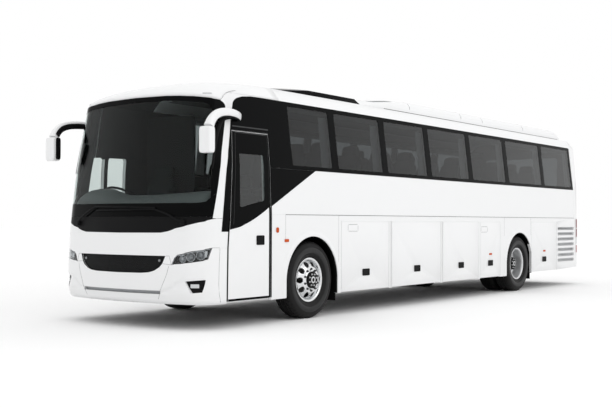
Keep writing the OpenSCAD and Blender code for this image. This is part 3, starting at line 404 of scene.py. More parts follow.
def curve_points(points, steps=6):
    """A smooth line through a few points, as a plain list of points."""
    pts = [Vector(p) for p in points]
    out = []
    for k in range(len(pts) - 1):
        p0, p1, p2, p3 = (pts[max(0, min(len(pts) - 1, k + d))] for d in (-1, 0, 1, 2))
        for j in range(steps):
            t = j / steps
            out.append(0.5 * ((2 * p1) + (p2 - p0) * t + (2 * p0 - 5 * p1 + 4 * p2 - p3) * t * t
                              + (3 * p1 - p0 - 3 * p2 + p3) * t ** 3))
    return out + [pts[-1]]


def lathe(bm, profile, turns, matrix):
    """Spin a profile of (radius, height) about Z, then place it."""
    angles = [2 * math.pi * k / turns for k in range(turns)]
    add_grid(bm, [[matrix @ Vector((r * math.cos(a), r * math.sin(a), h)) for r, h in profile]
                  for a in angles], close_rows=True)


def looking(at, way, axis="Z"):
    """A place whose own axis points along a way."""
    return Matrix.Translation(at) @ way.to_track_quat(axis, "Y").to_matrix().to_4x4()


def puffed_box(bm, low, high, matrix=Matrix(), n=6, power=4.0):
    """A box with crowned faces and soft corners, from a subdivided cube."""
    mid = [(a + b) / 2 for a, b in zip(low, high)]
    half = [(b - a) / 2 for a, b in zip(low, high)]
    cube = bmesh.new()
    bmesh.ops.create_cube(cube, size=2.0)
    bmesh.ops.subdivide_edges(cube, edges=cube.edges, cuts=n - 1, use_grid_fill=True)
    index = {}
    for v in cube.verts:
        u = [math.sin(math.pi / 2 * c) for c in v.co]
        norm = sum(abs(c) ** power for c in u) ** (1 / power)
        p = Vector([m + h * c / norm for m, h, c in zip(mid, half, u)])
        index[v] = bm.verts.new(matrix @ p)
    for f in cube.faces:
        bm.faces.new([index[v] for v in f.verts])
    cube.free()


print("shape helpers ready")

# %% [markdown]
# ## Repeats by Geometry Nodes
# Wheel nuts stand in rings, seats and louvres in rows, and the grille is a net of wires. Two
# small trees place copies of a part, and a third thickens the edges of a net. Each has named
# inputs, ends in Realize Instances and Set Material, and its result becomes a plain mesh. An
# array modifier could make the rows, but neither the rings nor the net.


# %% Geometry node trees
def new_tree(name, inputs):
    tree = bpy.data.node_groups.new(name, "GeometryNodeTree")
    tree.is_modifier = True
    for label, kind in {"Geometry": "Geometry", **inputs, "Material": "Material"}.items():
        tree.interface.new_socket(label, in_out="INPUT", socket_type="NodeSocket" + kind)
    tree.interface.new_socket("Geometry", in_out="OUTPUT", socket_type="NodeSocketGeometry")
    return tree, add_node(tree, "NodeGroupInput").outputs


def close_tree(tree, given, geometry):
    real = add_node(tree, "GeometryNodeRealizeInstances", {"Geometry": geometry})
    paint = add_node(tree, "GeometryNodeSetMaterial", {"Geometry": real.outputs["Geometry"],
                                                       "Material": given["Material"]})
    add_node(tree, "NodeGroupOutput", {"Geometry": paint.outputs["Geometry"]})
    return tree


def instance_part(tree, given, points, **more):
    part = add_node(tree, "GeometryNodeObjectInfo", {"Object": given["Part"]})
    sockets = {"Points": points, "Instance": part.outputs["Geometry"], **more}
    return add_node(tree, "GeometryNodeInstanceOnPoints", sockets).outputs["Instances"]


def make_ring_tree():
    tree, given = new_tree("ring_of_parts", {"Part": "Object", "Count": "Int", "Radius": "Float"})
    circle = add_node(tree, "GeometryNodeMeshCircle", {"Vertices": given["Count"],
                                                       "Radius": given["Radius"]})
    index = add_node(tree, "GeometryNodeInputIndex").outputs[0]
    share = math_node(tree, "DIVIDE", index, given["Count"])
    turn = add_node(tree, "ShaderNodeCombineXYZ", {"Z": math_node(tree, "MULTIPLY", share, 2 * math.pi)})
    parts = instance_part(tree, given, circle.outputs["Mesh"], Rotation=turn.outputs[0])
    return close_tree(tree, given, parts)


def make_row_tree():
    tree, given = new_tree("rows_of_parts", {"Part": "Object", "Columns": "Int", "Column Step": "Vector",
                                             "Rows": "Int", "Row Step": "Vector"})
    columns, rows = (add_node(tree, "GeometryNodeMeshLine", {"Count": given[count], "Offset": given[step]})
                     for count, step in (("Columns", "Column Step"), ("Rows", "Row Step")))
    cross = add_node(tree, "GeometryNodeInstanceOnPoints", {"Points": columns.outputs["Mesh"],
                                                            "Instance": rows.outputs["Mesh"]})
    real = add_node(tree, "GeometryNodeRealizeInstances", {"Geometry": cross.outputs["Instances"]})
    return close_tree(tree, given, instance_part(tree, given, real.outputs["Geometry"]))


def make_net_tree():
    tree, given = new_tree("net_of_wires", {"Wire Radius": "Float"})
    wires = add_node(tree, "GeometryNodeMeshToCurve", {"Mesh": given["Geometry"]})
    section = add_node(tree, "GeometryNodeCurvePrimitiveCircle", {"Resolution": 4,
                                                                  "Radius": given["Wire Radius"]})
    solid = add_node(tree, "GeometryNodeCurveToMesh", {"Curve": wires.outputs["Curve"],
                                                       "Profile Curve": section.outputs["Curve"]})
    return close_tree(tree, given, solid.outputs["Mesh"])


RING_TREE, ROW_TREE, NET_TREE = make_ring_tree(), make_row_tree(), make_net_tree()


def evaluated_mesh(piece):
    """What a piece looks like with its modifiers, as a plain mesh."""
    bpy.context.view_layer.update()
    shown = piece.evaluated_get(bpy.context.evaluated_depsgraph_get())
    return bpy.data.meshes.new_from_object(shown)


def grow(name, tree, values, slot, material, matrix=Matrix(), base=None, angle=35.0, body="coach"):
    """Run a tree on a base mesh, keep its result as a plain mesh and place it."""
    holder = bpy.data.objects.new(name + "_holder", base or bpy.data.meshes.new(name + "_base"))
    scene.collection.objects.link(holder)
    modifier = holder.modifiers.new("repeat", "NODES")
    modifier.node_group = tree
    keys = {item.name: item.identifier for item in tree.interface.items_tree
            if item.in_out == "INPUT"}
    for label, value in {**values, "Material": material}.items():
        modifier[keys[label]] = value
    holder.update_tag()
    mesh = evaluated_mesh(holder)
    bpy.data.objects.remove(holder)
    mesh.transform(matrix)
    return piece_of_mesh(name, mesh, material, angle, body)


def part_object(name, bm):
    """A loose part for a tree to copy; it is removed once the copies are made."""
    bmesh.ops.recalc_face_normals(bm, faces=bm.faces)
    mesh = bpy.data.meshes.new(name)
    bm.to_mesh(mesh)
    bm.free()
    part = bpy.data.objects.new(name, mesh)
    scene.collection.objects.link(part)
    return part


print("trees:", RING_TREE.name, ROW_TREE.name, NET_TREE.name)

# %% [markdown]
# ## Camera
# The camera stands where the photograph was taken, ahead of the front left corner at about
# chest height. Its place, turn and lens were fitted to points that the photograph shows. A
# view set by eye would leave the whole coach a little off.

# %% Camera
CAMERA_AT = Vector((14.374, 9.081, 1.313))
VIEW_YAW, VIEW_PITCH, VIEW_ROLL = (math.radians(a) for a in (216.478, 1.024, 0.177))
camera = bpy.data.objects.new("camera", bpy.data.cameras.new("camera"))
camera.data.lens = 57.31
camera.data.sensor_width = 36.0
camera.data.clip_end = 500.0
flat = math.cos(VIEW_PITCH)
look = Vector((math.cos(VIEW_YAW) * flat, math.sin(VIEW_YAW) * flat, math.sin(VIEW_PITCH)))
camera.matrix_world = looking(CAMERA_AT, look, "-Z") @ Matrix.Rotation(VIEW_ROLL, 4, "Z")
scene.collection.objects.link(camera)
scene.camera = camera
scene.view_settings.view_transform = "Standard"
print("camera lens", camera.data.lens)

# %% [markdown]
# ## Floor and light
# An even white surrounding lights the coach, a little more from above than from the horizon,
# while the camera and reflections see plain white. One soft lamp above gives the panels their
# slow shading and the floor its shadow. Lamps alone would leave hard highlights on the glossy
# panels.

# %% Floor and light
FLOOR_HALF = 150
floor_mesh = bpy.data.meshes.new("floor")
corners = ((-1, -1), (1, -1), (1, 1), (-1, 1))
floor_mesh.from_pydata([(x * FLOOR_HALF, y * FLOOR_HALF, 0) for x, y in corners], [], [(0, 1, 2, 3)])
floor = bpy.data.objects.new("floor", floor_mesh)
scene.collection.objects.link(floor)
material, tree, shader = new_shader("studio_floor", {"Roughness": 1.0, "Specular IOR Level": 0.0})
seen = add_node(tree, "ShaderNodeLightPath").outputs["Is Camera Ray"]
join(tree, shader, {"Base Color": two_tones(tree, seen, (0.92, 0.92, 0.92), (0.98, 0.98, 0.98))})
floor_mesh.materials.append(material)

HORIZON, ZENITH = 0.82, 1.13
world = bpy.data.worlds.new("studio")
world.use_nodes = True
scene.world = world
tree = world.node_tree
path = add_node(tree, "ShaderNodeLightPath").outputs
seen = math_node(tree, "MAXIMUM", path["Is Camera Ray"], path["Is Glossy Ray"])
seen = math_node(tree, "MAXIMUM", seen, path["Is Transmission Ray"])
way = add_node(tree, "ShaderNodeSeparateXYZ", {0: add_node(tree, "ShaderNodeTexCoord").outputs["Generated"]})
height = math_node(tree, "MAXIMUM", way.outputs["Z"], 0.0)
glow = math_node(tree, "ADD", math_node(tree, "MULTIPLY", height, ZENITH - HORIZON), HORIZON)
level = add_node(tree, "ShaderNodeMix", {0: seen, 2: glow, 3: 1.0})
join(tree, tree.nodes["Background"], {"Color": (1, 1, 1, 1), "Strength": level.outputs[0]})

LAMP_AT, LAMP_AIM, LAMP_WATTS = Vector((2.0, 14.0, 9.0)), Vector((-1.0, 0.5, 1.0)), 300.0
lamp = bpy.data.objects.new("side_softbox", bpy.data.lights.new("side_softbox", "AREA"))
lamp.data.shape = "RECTANGLE"
lamp.data.size, lamp.data.size_y = 14.0, 6.0
lamp.data.energy = LAMP_WATTS
lamp.matrix_world = looking(LAMP_AT, LAMP_AIM - LAMP_AT, "-Z")
scene.collection.objects.link(lamp)
print("sky from", HORIZON, "to", ZENITH, "lamps", len(bpy.data.lights))

# %% [markdown]
# ## The front skin
# Mask, bumper, cowl and windscreen are parts of one skin: at each height a wide arc across the
# front and a corner arc at each side. The same rule that shaped the solids is written here
# with more points, so panels flow into each other and trims lie exactly on the glass.

# %% Front skin rule
FRONT_R, WS_LOW, WS_TOP_MID = 4.6, 1.365, 2.87
OVERHANG = 2.33
FRONT_SHARE = (0, 0.145, 0.29, 0.435, 0.58, 0.69, 0.797, 0.86, 0.9, 1)
CORNER_SHARE = (0, 0.1, 0.23, 0.36, 0.49, 0.53, 0.62, 0.745, 0.87, 1)
ARC_COLS, CORNER_COLS, END_COL, WS_COL = 9, 18, 20, 16
SEAM = 0.0008
FRONT_X = ((0.31, OVERHANG - 0.045), (0.48, OVERHANG), (0.76, OVERHANG - 0.003),
           (1.17, OVERHANG - 0.022), (WS_LOW, OVERHANG - 0.04))
CAP_END = ((0.31, 1.745), (1.0, 1.735), (2.43, 1.618), (2.9, 1.58))
BUMPER_TOP = ((0, 0.676), (2.8, 0.68), (3.6, 0.69), (4.3, 0.715), (5, 0.758), (5.35, 0.8), (5.75, 0.8922),
              (6.5, 0.8922), (7, 0.786), (11, 0.817), (14.8, 0.856), (15.5, 0.9932), (20, 0.9842))
MASK_LOW = ((0, 0.893), (6.5, 0.893), (7, 0.7868), (8.45, 0.91), (11, 0.953), (15.5, 0.994), (20, 0.985))
COWL_LOW = ((0, 1.167), (5, 1.172), (12, 1.296), (WS_COL, 1.345))
WS_TOP = ((0, 2.87), (4, 2.863), (9, 2.838), (WS_COL, 2.795), (17, 2.86), (18, 2.898), (20, 2.9))
FRONT_CORNER_R = ((0.31, 0.4), (WS_LOW, 0.42), (WS_TOP_MID, 0.34))


def table(pairs, v):
    return float(np.interp(v, [p[0] for p in pairs], [p[1] for p in pairs]))


def front_x(z):
    if z <= WS_LOW:
        return table(FRONT_X, z)
    return OVERHANG - 0.04 - 0.11 * (z - WS_LOW) - 0.0316 * (z - WS_LOW) ** 2


def corner_at(z):
    """Radius of the corner arc at a height, the width it starts at and its opening angle."""
    r = table(FRONT_CORNER_R, z)
    y = side_y(z) - r
    return r, y, math.asin(y / (FRONT_R - r))


def skin(z, i, t):
    """Point of the front skin at height z and column i, at depth t below the surface."""
    k = abs(i)
    r, corner_y, open_a = corner_at(z)
    arc_x = front_x(z) - FRONT_R
    corner_x = arc_x + math.sqrt((FRONT_R - r) ** 2 - corner_y ** 2)
    if k <= ARC_COLS:
        a = open_a * np.interp(k, range(len(FRONT_SHARE)), FRONT_SHARE)
        x, y = arc_x + (FRONT_R - t) * math.cos(a), (FRONT_R - t) * math.sin(a)
    elif k <= CORNER_COLS:
        a = open_a + (math.pi / 2 - open_a) * np.interp(k - ARC_COLS, range(len(CORNER_SHARE)),
                                                        CORNER_SHARE)
        x, y = corner_x + (r - t) * math.cos(a), corner_y + (r - t) * math.sin(a)
    else:
        f = (k - CORNER_COLS) / (END_COL - CORNER_COLS)
        x, y = corner_x + (table(CAP_END, z) + SEAM - corner_x) * f, side_y(z) - t
    return Vector((station(x), y if i >= 0 else -y, z))


print("front at the belt:", round(front_x(BELT_Z), 3))

# %% [markdown]
# ## Panels of the skin
# A panel is the part of the skin between two edges and two depths. Every bend of an edge gets a
# column of its own, so neighbours that share an edge meet without a gap.


# %% Skin panels
def edge(pairs, shift=0.0):
    return lambda i: table(pairs, abs(i)) + shift


def flat_edge(z):
    return lambda i: z


BENDS = {abs(i) for i, _ in (*BUMPER_TOP, *MASK_LOW)}


def spread(first, last, parts):
    """Columns from first to last, with every whole column and every bend of an edge among them."""
    whole = range(math.ceil(first), math.floor(last) + 1)
    bends = [s * i for i in BENDS for s in (-1, 1) if first < s * i < last]
    marks = sorted({first, last, *whole, *bends})
    return [a + (b - a) * k / parts for a, b in zip(marks, marks[1:]) for k in range(parts)] + [last]


def add_patch(bm, cols, low, top, rows, t0, t1):
    """A closed panel of the skin between two edges and two depths; a depth may be a rule."""
    sheets = []
    for t in (t0, t1):
        deep = t if callable(t) else lambda z, i: t
        heights = [[low(i) + (top(i) - low(i)) * r / rows for i in cols] for r in range(rows + 1)]
        sheets.append([[skin(z, i, deep(z, i)) for z, i in zip(line, cols)] for line in heights])
    outer, inner = sheets
    rings = [[*o, *reversed(n)] for o, n in zip(outer, inner)]
    verts = add_grid(bm, rings, close_cols=True)
    m = len(cols)
    for ring in (verts[0], verts[-1]):
        for c in range(m - 1):
            bm.faces.new((ring[c], ring[c + 1], ring[2 * m - 2 - c], ring[2 * m - 1 - c]))


def skin_piece(name, patches, slot, material, replaces=()):
    bm = bmesh.new()
    for patch in patches:
        add_patch(bm, *patch)
    piece = make_piece(name, bm, slot, material)
    if replaces:
        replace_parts(piece, *replaces)
    return piece


def both(patch):
    """The same patch on the left and, with its columns turned round, on the right."""
    cols, *rest = patch
    return [patch, ([-i for i in reversed(cols)], *rest)]


wide = spread(-END_COL, END_COL, 2)
mask = skin_piece("front_mask_skin", [
    (wide, edge(MASK_LOW), edge(COWL_LOW, -SEAM), 12, 0, 0.03),
    *both((spread(WS_COL, END_COL, 4), edge(COWL_LOW), edge(WS_TOP), 40, 0, 0.04)),
], *WHITE, ["front_mask"])
print("front mask faces:", len(mask.data.polygons))

# %% [markdown]
# ## Bumper
# The bumper has a fog lamp pocket at each end and a long intake slot. The skin is lofted and
# the three openings are cut out of it, as they are in the moulding. Building round the holes
# would need many points set by hand, so a boolean takes them out.


# %% Bumper
def cut(piece, cutter_bm):
    """Take a shape out of a piece for good."""
    cutter = part_object("cutter", cutter_bm)
    modifier = piece.modifiers.new("cut", "BOOLEAN")
    modifier.object = cutter
    modifier.solver = "EXACT"
    mesh = evaluated_mesh(piece)
    piece.modifiers.clear()
    piece.data = mesh
    smooth(mesh)
    bpy.data.objects.remove(cutter)


def prism(bm, outline, x0, x1):
    """A prism along X from an outline of (y, z) points."""
    add_loft(bm, [[(x, y, z) for y, z in outline] for x in (x0, x1)])


SCOOP_FIRST, SCOOP_LAST, SCOOP_FADE, SCOOP_DEEP = 4.4, 14.6, 1.2, 0.016
SCOOP_TOP = ((4.4, 0.47), (5.2, 0.485), (7.6, 0.56), (9.2, 0.625), (13.4, 0.635), (14.6, 0.6))
SCOOP_LOW = ((4.4, 0.44), (6.5, 0.415), (9.5, 0.405), (13.4, 0.44), (14.6, 0.5))


def scoop(z, i):
    """Depth of the hollow round each fog lamp, and of the tuck under the chin."""
    k = abs(i)
    low, top = table(SCOOP_LOW, k), table(SCOOP_TOP, k)
    tuck = 0.03 * max(0.0, (0.36 - z) / 0.05) ** 2
    if not (SCOOP_FIRST < k < SCOOP_LAST and low < z < top):
        return tuck
    ends = min(1.0, (k - SCOOP_FIRST) / SCOOP_FADE, (SCOOP_LAST - k) / SCOOP_FADE)
    f = (z - low) / (top - low)
    return tuck + SCOOP_DEEP * ends * math.sin(math.pi * f ** 1.6)


BUMPER_FOOT = 0.31
FOG = ((1.02, 0.593), (1.227, 0.612), (1.2, 0.463), (1.09, 0.452))
SLOT_HW, SLOT_LOW, SLOT_TOP = 0.68, 0.43, 0.472
SLOT = ((-SLOT_HW, SLOT_LOW), (SLOT_HW, SLOT_LOW), (SLOT_HW, SLOT_TOP), (-SLOT_HW, SLOT_TOP))
bumper = skin_piece("front_bumper_skin", [
    (spread(-END_COL, END_COL, 4), flat_edge(BUMPER_FOOT), edge(BUMPER_TOP), 40, scoop, 0.04),
], *WHITE, ["front_bumper"])
openings = bmesh.new()
for s in (-1, 1):
    prism(openings, [(s * y, z) for y, z in FOG], station(1.85), station(2.4))
prism(openings, SLOT, station(1.95), station(2.4))
cut(bumper, openings)
lining = (spread(-6, 6, 2), flat_edge(0.424), flat_edge(0.478), 1, 0.032, 0.045)
skin_piece("intake_lining", [lining], "black_plastic", GREY_TRIM)
print("bumper faces:", len(bumper.data.polygons))

# %% [markdown]
# ## Windscreen and cowl
# The windscreen is one bent sheet. Its black printed border hides the glue line: it is thick
# along the foot, thinner above, and rounds off in the corners. The border is a thin layer
# just outside the glass, because a printed edge has to stay black from every side.

# %% Windscreen
BORDER_T = (0.0008, 0.0018)
glass_cols = [0.04 - WS_COL, *spread(1 - WS_COL, WS_COL - 1, 3), WS_COL - 0.04]
pane = skin_piece("windscreen_glass", [
    (glass_cols, flat_edge(WS_LOW), edge(WS_TOP, -SEAM), 36, 0.002, 0.01),
], "glass", SCREEN_GLASS, ["windscreen"])


def border_side(i):
    return max(0.0, min(1.0, (abs(i) - 10.0) / (WS_COL - 10.4)))


def border_top(i):
    return edge(WS_TOP)(i) - 0.065 - 0.22 * border_side(i) ** 3


def border_foot(i):
    return WS_LOW + 0.165 + 0.12 * border_side(i) ** 3


border = [(glass_cols, flat_edge(WS_LOW + SEAM), border_foot, 3, *BORDER_T),
          (glass_cols, border_top, edge(WS_TOP, -2 * SEAM), 3, *BORDER_T),
          *both((spread(14.6, WS_COL - 0.04, 4), border_foot, border_top, 24, *BORDER_T))]
skin_piece("windscreen_border", border, *GLOSS)
SCREEN_EDGE = ((1.347, 15.25), (1.414, 15.37), (1.554, 15.66), (1.754, 16.0), (1.955, 16.23),
               (2.159, 16.46), (2.363, 16.86), (2.539, 17.19), (2.726, 17.22), (2.75, 17.0),
               (2.781, 16.36), (2.79, 16.0))


def add_strip(bm, heights, first, last, parts, t0, t1):
    """A closed layer of the skin between two edges that move with the height."""
    rings = []
    for z in heights:
        cols = np.linspace(first(z), last(z), parts + 1)
        rings.append([*(skin(z, i, t0) for i in cols), *(skin(z, i, t1) for i in reversed(cols))])
    add_loft(bm, rings)


pillar_black, pillar_foot = bmesh.new(), bmesh.new()
for s in (-1, 1):
    add_strip(pillar_black, np.linspace(1.76, 2.788, 48), lambda z: s * 15.97,
              lambda z: s * table(SCREEN_EDGE, z), 6, -0.0012, 0.0)
    add_strip(pillar_foot, np.linspace(1.347, 1.75, 16), lambda z: s * table(SCREEN_EDGE, z),
              lambda z: s * 16.03, 4, -0.0012, 0.0006)
make_piece("screen_edge_black", pillar_black, *GLOSS)
make_piece("pillar_foot_cover", pillar_foot, *WHITE)
skin_piece("wiper_cowl_skin", [
    (glass_cols, edge(COWL_LOW), flat_edge(WS_LOW - SEAM), 6, 0.002, 0.016),
], "gloss_black", BLACK_PLASTIC, ["wiper_cowl"])
print("windscreen faces:", len(pane.data.polygons))

# %% [markdown]
# ## Roof front
# The dome bows from the head of the windscreen back to the straight roof. A merged copy of
# each white solid gets smooth faces, and the flaps and the cooling unit get soft edges.
# Drawing these panels again could open gaps between solids that already fit.

# %% Roof and dome
FLAPS_A_SIDE = 5
FLAPS = [f"flap_{side}_{k}" for side, _ in SIDES for k in range(1, FLAPS_A_SIDE + 1)]
refine("roof_dome", "roof_dome_skin", *WHITE, angle=50.0)
for node in ("roof", "side_wall_left", "side_wall_right", "skirt_panels", "rear_panel"):
    refine(node, node + "_skin", *WHITE)
for node in (*FLAPS, "engine_door"):
    refine(node, node + "_skin", *WHITE, bevel=0.003)
refine("door_leaf", "door_leaf_skin", *WHITE)
refine("ac_unit", "ac_cover", *WHITE, bevel=0.05, segments=4, angle=60.0)
refine("roof_hatch", "roof_hatch_cover", *GLOSS, bevel=0.02, segments=3)
print("flaps:", len(FLAPS))

# %% [markdown]
# ## Trims on the side of the body
# A trim on the side starts as a flat outline of stations and heights, with holes where glass
# shows. It is filled, cut at the belt and the sill where the side bends, laid on the side by
# the one rule for its depth, and given a thickness. Cutting a trim out of the wall would
# leave ragged edges at the bends.


# %% Side trims
def rounded(points, radius, steps=5):
    """An outline with its corners rounded; a radius may be given for each corner."""
    n = len(points)
    radii = radius if hasattr(radius, "__len__") else [radius] * n
    out = []
    for k in range(n):
        p, a, b = (Vector(points[j % n]) for j in (k, k - 1, k + 1))
        if not radii[k]:
            out.append(tuple(p))
            continue
        u, v = (a - p), (b - p)
        r = min(radii[k], 0.45 * u.length, 0.45 * v.length)
        p0, p1 = p + u.normalized() * r, p + v.normalized() * r
        for j in range(steps + 1):
            t = j / steps
            out.append(tuple((1 - t) ** 2 * p0 + 2 * t * (1 - t) * p + t * t * p1))
    return out


def side_sheet(outlines, s, proud, thick):
    """A filled outline with holes, laid on the left (s = 1) or right side of the body."""
    bm = bmesh.new()
    edges = []
    for outline in outlines:
        verts = [bm.verts.new((x, 0, z)) for x, z in outline]
        edges += [bm.edges.new((verts[k - 1], verts[k])) for k in range(len(verts))]
    bmesh.ops.triangle_fill(bm, use_beauty=True, use_dissolve=False, edges=edges)
    bmesh.ops.dissolve_limit(bm, angle_limit=0.01, verts=bm.verts, edges=bm.edges,
                             delimit={"NORMAL"})
    for z in (BELT_Z, SILL_Z):
        bmesh.ops.bisect_plane(bm, geom=[*bm.verts, *bm.edges, *bm.faces], plane_co=(0, 0, z),
                               plane_no=(0, 0, 1))
    made = bmesh.ops.extrude_face_region(bm, geom=list(bm.faces), use_keep_orig=True)
    inner = {v for v in made["geom"] if isinstance(v, bmesh.types.BMVert)}
    for v in bm.verts:
        depth = proud - thick if v in inner else proud
        v.co = Vector((station(v.co.x), s * (side_y(v.co.z) + depth), v.co.z))
    return bm


TRIM_PROUD, TRIM_T = 0.003, 0.0025


def side_trim(name, outlines, s, slot, material, proud=TRIM_PROUD, thick=TRIM_T, body="coach"):
    make_piece(name, side_sheet(outlines, s, proud, thick), slot, material, body=body)


print("the side bends at", BELT_Z, SILL_Z)

# %% [markdown]
# ## Window band
# From outside the side windows read as one black band, because dark printed borders and posts
# join the panes. The band is one trim with a hole for the clear part of each pane. Separate
# frames would show joints that the real band hides.

# %% Window band
PANES = (0.57, -0.572, -1.903, -3.262, -4.733, -6.218, -7.892, -9.46)
BAND_LOW, BAND_TOP = SILL_Z + 0.001, 2.897
CLEAR_Z = (2.055, 2.84)


def clear_of(k):
    """Outline of the clear part of pane k, inside its printed border."""
    front, rear = PANES[k] - (0.15 if k == 0 else 0.085), PANES[k + 1] + 0.075
    low, top = CLEAR_Z
    return rounded([(rear, low), (front, low), (front + 0.035, top), (rear + 0.03, top)], 0.035)


BAND_FRONT = {1: 0.893, -1: 0.80}
DOOR_HEAD_Z = 2.438
BAND_HEAD = [(1.6, 2.6), (1.578, 2.7), (1.553, 2.785), (1.52, 2.82), (1.47, 2.848), (1.37, 2.875),
             (1.2, 2.893), (1.0, BAND_TOP)]
clear = [clear_of(k) for k in range(len(PANES) - 1)]
for side, s in SIDES:
    front = BAND_FRONT[s]
    head = BAND_HEAD if s > 0 else [(front, BAND_TOP)]
    foot = [(table(CAP_END, DOOR_HEAD_Z), DOOR_HEAD_Z), (front, DOOR_HEAD_Z)] if s > 0 else [(front, 2.445)]
    outline = [(-9.485, BAND_LOW), (front, BAND_LOW), *reversed(foot), *head, (-9.45, BAND_TOP)]
    radii = [0.02, *[0] * (len(outline) - 2), 0.06]
    side_trim(f"window_band_{side}", [rounded(outline, radii), *clear], s, *GLOSS)
    corner = [(-0.085, SILL_Z), (front, 1.505), (front, SILL_Z)]
    side_trim(f"band_corner_{side}", [corner], s, *GLOSS)
print("clear panes a side:", len(clear))

# %% [markdown]
# ## Panes
# The saloon's panes are tinted and the driver's are clear. The window solid is parted by station
# into two kinds of glass, and the small front pane first needs a hole in the wall.

# %% Panes
PANE_SPLIT_X, FRONT_PANE_X = station(1.0), station(1.44)
CAB_PANE = rounded([(1.468, 1.6), (1.735, 1.6), (1.65, 2.185), (1.468, 2.185)], 0.03)
for name in ("front_mask_skin", "side_wall_right_skin"):
    hole = bmesh.new()
    add_loft(hole, [[(station(x), -y, z) for x, z in CAB_PANE] for y in (1.0, 1.5)])
    cut(bpy.data.objects[name], hole)
side_trim("cab_front_pane", [CAB_PANE], -1, "glass", CAB_GLASS, -0.004, 0.005)


def split_panes():
    """The driver's rear pane is clear glass like the front one, the saloon's panes are tinted."""
    for name, material, saloon in (("side_panes", PANE_GLASS, True), ("cab_panes", CAB_GLASS, False)):
        bm = bmesh.new()
        bm.from_mesh(NODES["side_windows"].data)
        bmesh.ops.remove_doubles(bm, verts=bm.verts, dist=WELD)
        off = [v for v in bm.verts if (v.co.x < PANE_SPLIT_X) != saloon or v.co.x > FRONT_PANE_X]
        bmesh.ops.delete(bm, geom=off, context="VERTS")
        piece = make_piece(name, bm, "glass", material, 32.0, recalc=False)
        if saloon:
            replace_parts(piece, "side_windows")


split_panes()
refine("rear_window", "rear_pane", "glass", PANE_GLASS)
refine("door_glass", "door_pane", "glass", DOOR_GLASS)
print("panes part at", PANE_SPLIT_X)

# %% [markdown]
# ## Passenger door
# The upper part of the leaf is black with a window let into it. Its lower edge sweeps up to
# meet the black corner of the window band, and slim lines frame it. The leaf moves, so its
# trims ride on the door. A second material on the solid could mark the black part, but its
# curved edge needs points of its own.

# %% Door trims
DOOR_REAR, DOOR_GAP, DOOR_TOP = 0.905, 0.007, 2.425
LINE_FRONT, LINE_REAR, LINE_TOP = 0.075, 0.96, 2.412
DOOR_SWEEP = ((0.0, 1.21), (0.23, 1.24), (0.54, 1.328), (0.81, 1.428), (1.0, 1.51))


def door_front(z):
    return table(CAP_END, z) - DOOR_GAP - 0.002


def door_x(share, z):
    """A station on the door: 0 at its front edge, 1 at its rear edge."""
    rear = DOOR_REAR + DOOR_GAP + 0.002
    return door_front(z) + (rear - door_front(z)) * share


sweep_edge = [(door_x(f, z), z) for f, z in ((f / 12, table(DOOR_SWEEP, f / 12)) for f in range(13))]
upper = [*sweep_edge, (door_x(1, DOOR_TOP), DOOR_TOP), (door_front(DOOR_TOP), DOOR_TOP),
         (door_front(SILL_Z), SILL_Z)]
DOOR_CLEAR = rounded([(1.04, 1.575), (1.517, 1.482), (1.502, 2.155), (1.035, 2.155)], 0.03)
side_trim("door_upper_panel", [upper, DOOR_CLEAR], 1, *GLOSS, body="door")


def side_line(bm, points, s, width, height, proud=0.004):
    """A slim bar laid on the side of the body through stations and heights."""
    path = [(station(x), s * (side_y(z) + proud), z) for x, z in points]
    sweep(bm, path, width, height, up=(0, s, 0), sides=6)


bm = bmesh.new()
side_line(bm, [(door_x(LINE_FRONT, z), z) for z in (1.27, BELT_Z, 1.7, SILL_Z, LINE_TOP)], 1, 0.006, 0.006)
side_line(bm, [(door_x(f, LINE_TOP), LINE_TOP) for f in (LINE_FRONT, LINE_REAR)], 1, 0.009, 0.006)
side_line(bm, [(door_x(LINE_REAR, z), z) for z in (1.53, 1.7, SILL_Z, LINE_TOP)], 1, 0.004, 0.006)
make_piece("door_bright_lines", bm, "rim_alloy", LINE_GREY, body="door")

bm = bmesh.new()
side_line(bm, [(1.605, 2.487), (0.9, 2.487)], 1, 0.018, 0.008)
make_piece("door_header_line", bm, "rim_alloy", LINE_GREY)
print("points of the door's black panel:", len(upper))

# %% [markdown]
# ## Door seals and rail
# Rubber runs round the leaf and down the doorway, and a rail crosses the window inside. A seal
# is a slim upright trim that follows the slanting edge it closes.


# %% Door seals
def upright(x, width, low, top):
    """An outline that follows the slanting front of the doorway, or stands straight on a number."""
    heights = (low, 1.0, 1.7, top)
    at = x if callable(x) else lambda z: x
    return [*((at(z), z) for z in heights), *((at(z) + width, z) for z in reversed(heights))]


DOOR_LOW, WALL_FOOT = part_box("door_leaf")[0].z, 0.34
TRIM_DEPTH, EDGE_DEPTH = (TRIM_PROUD, TRIM_T), (-0.002, 0.04)
foot_rubber = [(0.9465, DOOR_LOW + 0.002), (door_front(WALL_FOOT) - 0.001, DOOR_LOW + 0.002),
               (door_front(0.37) - 0.001, DOOR_LOW + 0.03), (0.9465, DOOR_LOW + 0.03)]
front_seal = upright(lambda z: table(CAP_END, z) + 0.003, 0.017, WALL_FOOT, 1.19)
front_edge = upright(lambda z: door_front(z) + 0.0024, 0.003, WALL_FOOT, 2.42)
SEALS = (("door_foot_rubber", "door", foot_rubber, TRIM_DEPTH),
         ("door_seal_rear", "coach", upright(0.891, 0.0135, WALL_FOOT, 2.437), TRIM_DEPTH),
         ("door_jamb_rubber", "coach", upright(0.9056, 0.003, WALL_FOOT, 2.43), EDGE_DEPTH),
         ("door_seal_front", "coach", front_seal, TRIM_DEPTH),
         ("door_edge_rubber", "door", front_edge, EDGE_DEPTH),
         ("door_rear_rubber", "door", upright(0.9142, 0.032, WALL_FOOT, 1.5), TRIM_DEPTH))
for name, body, outline, depth in SEALS:
    side_trim(name, [outline], 1, "rubber", BLACK_GLOSS, *depth, body)
bm = bmesh.new()
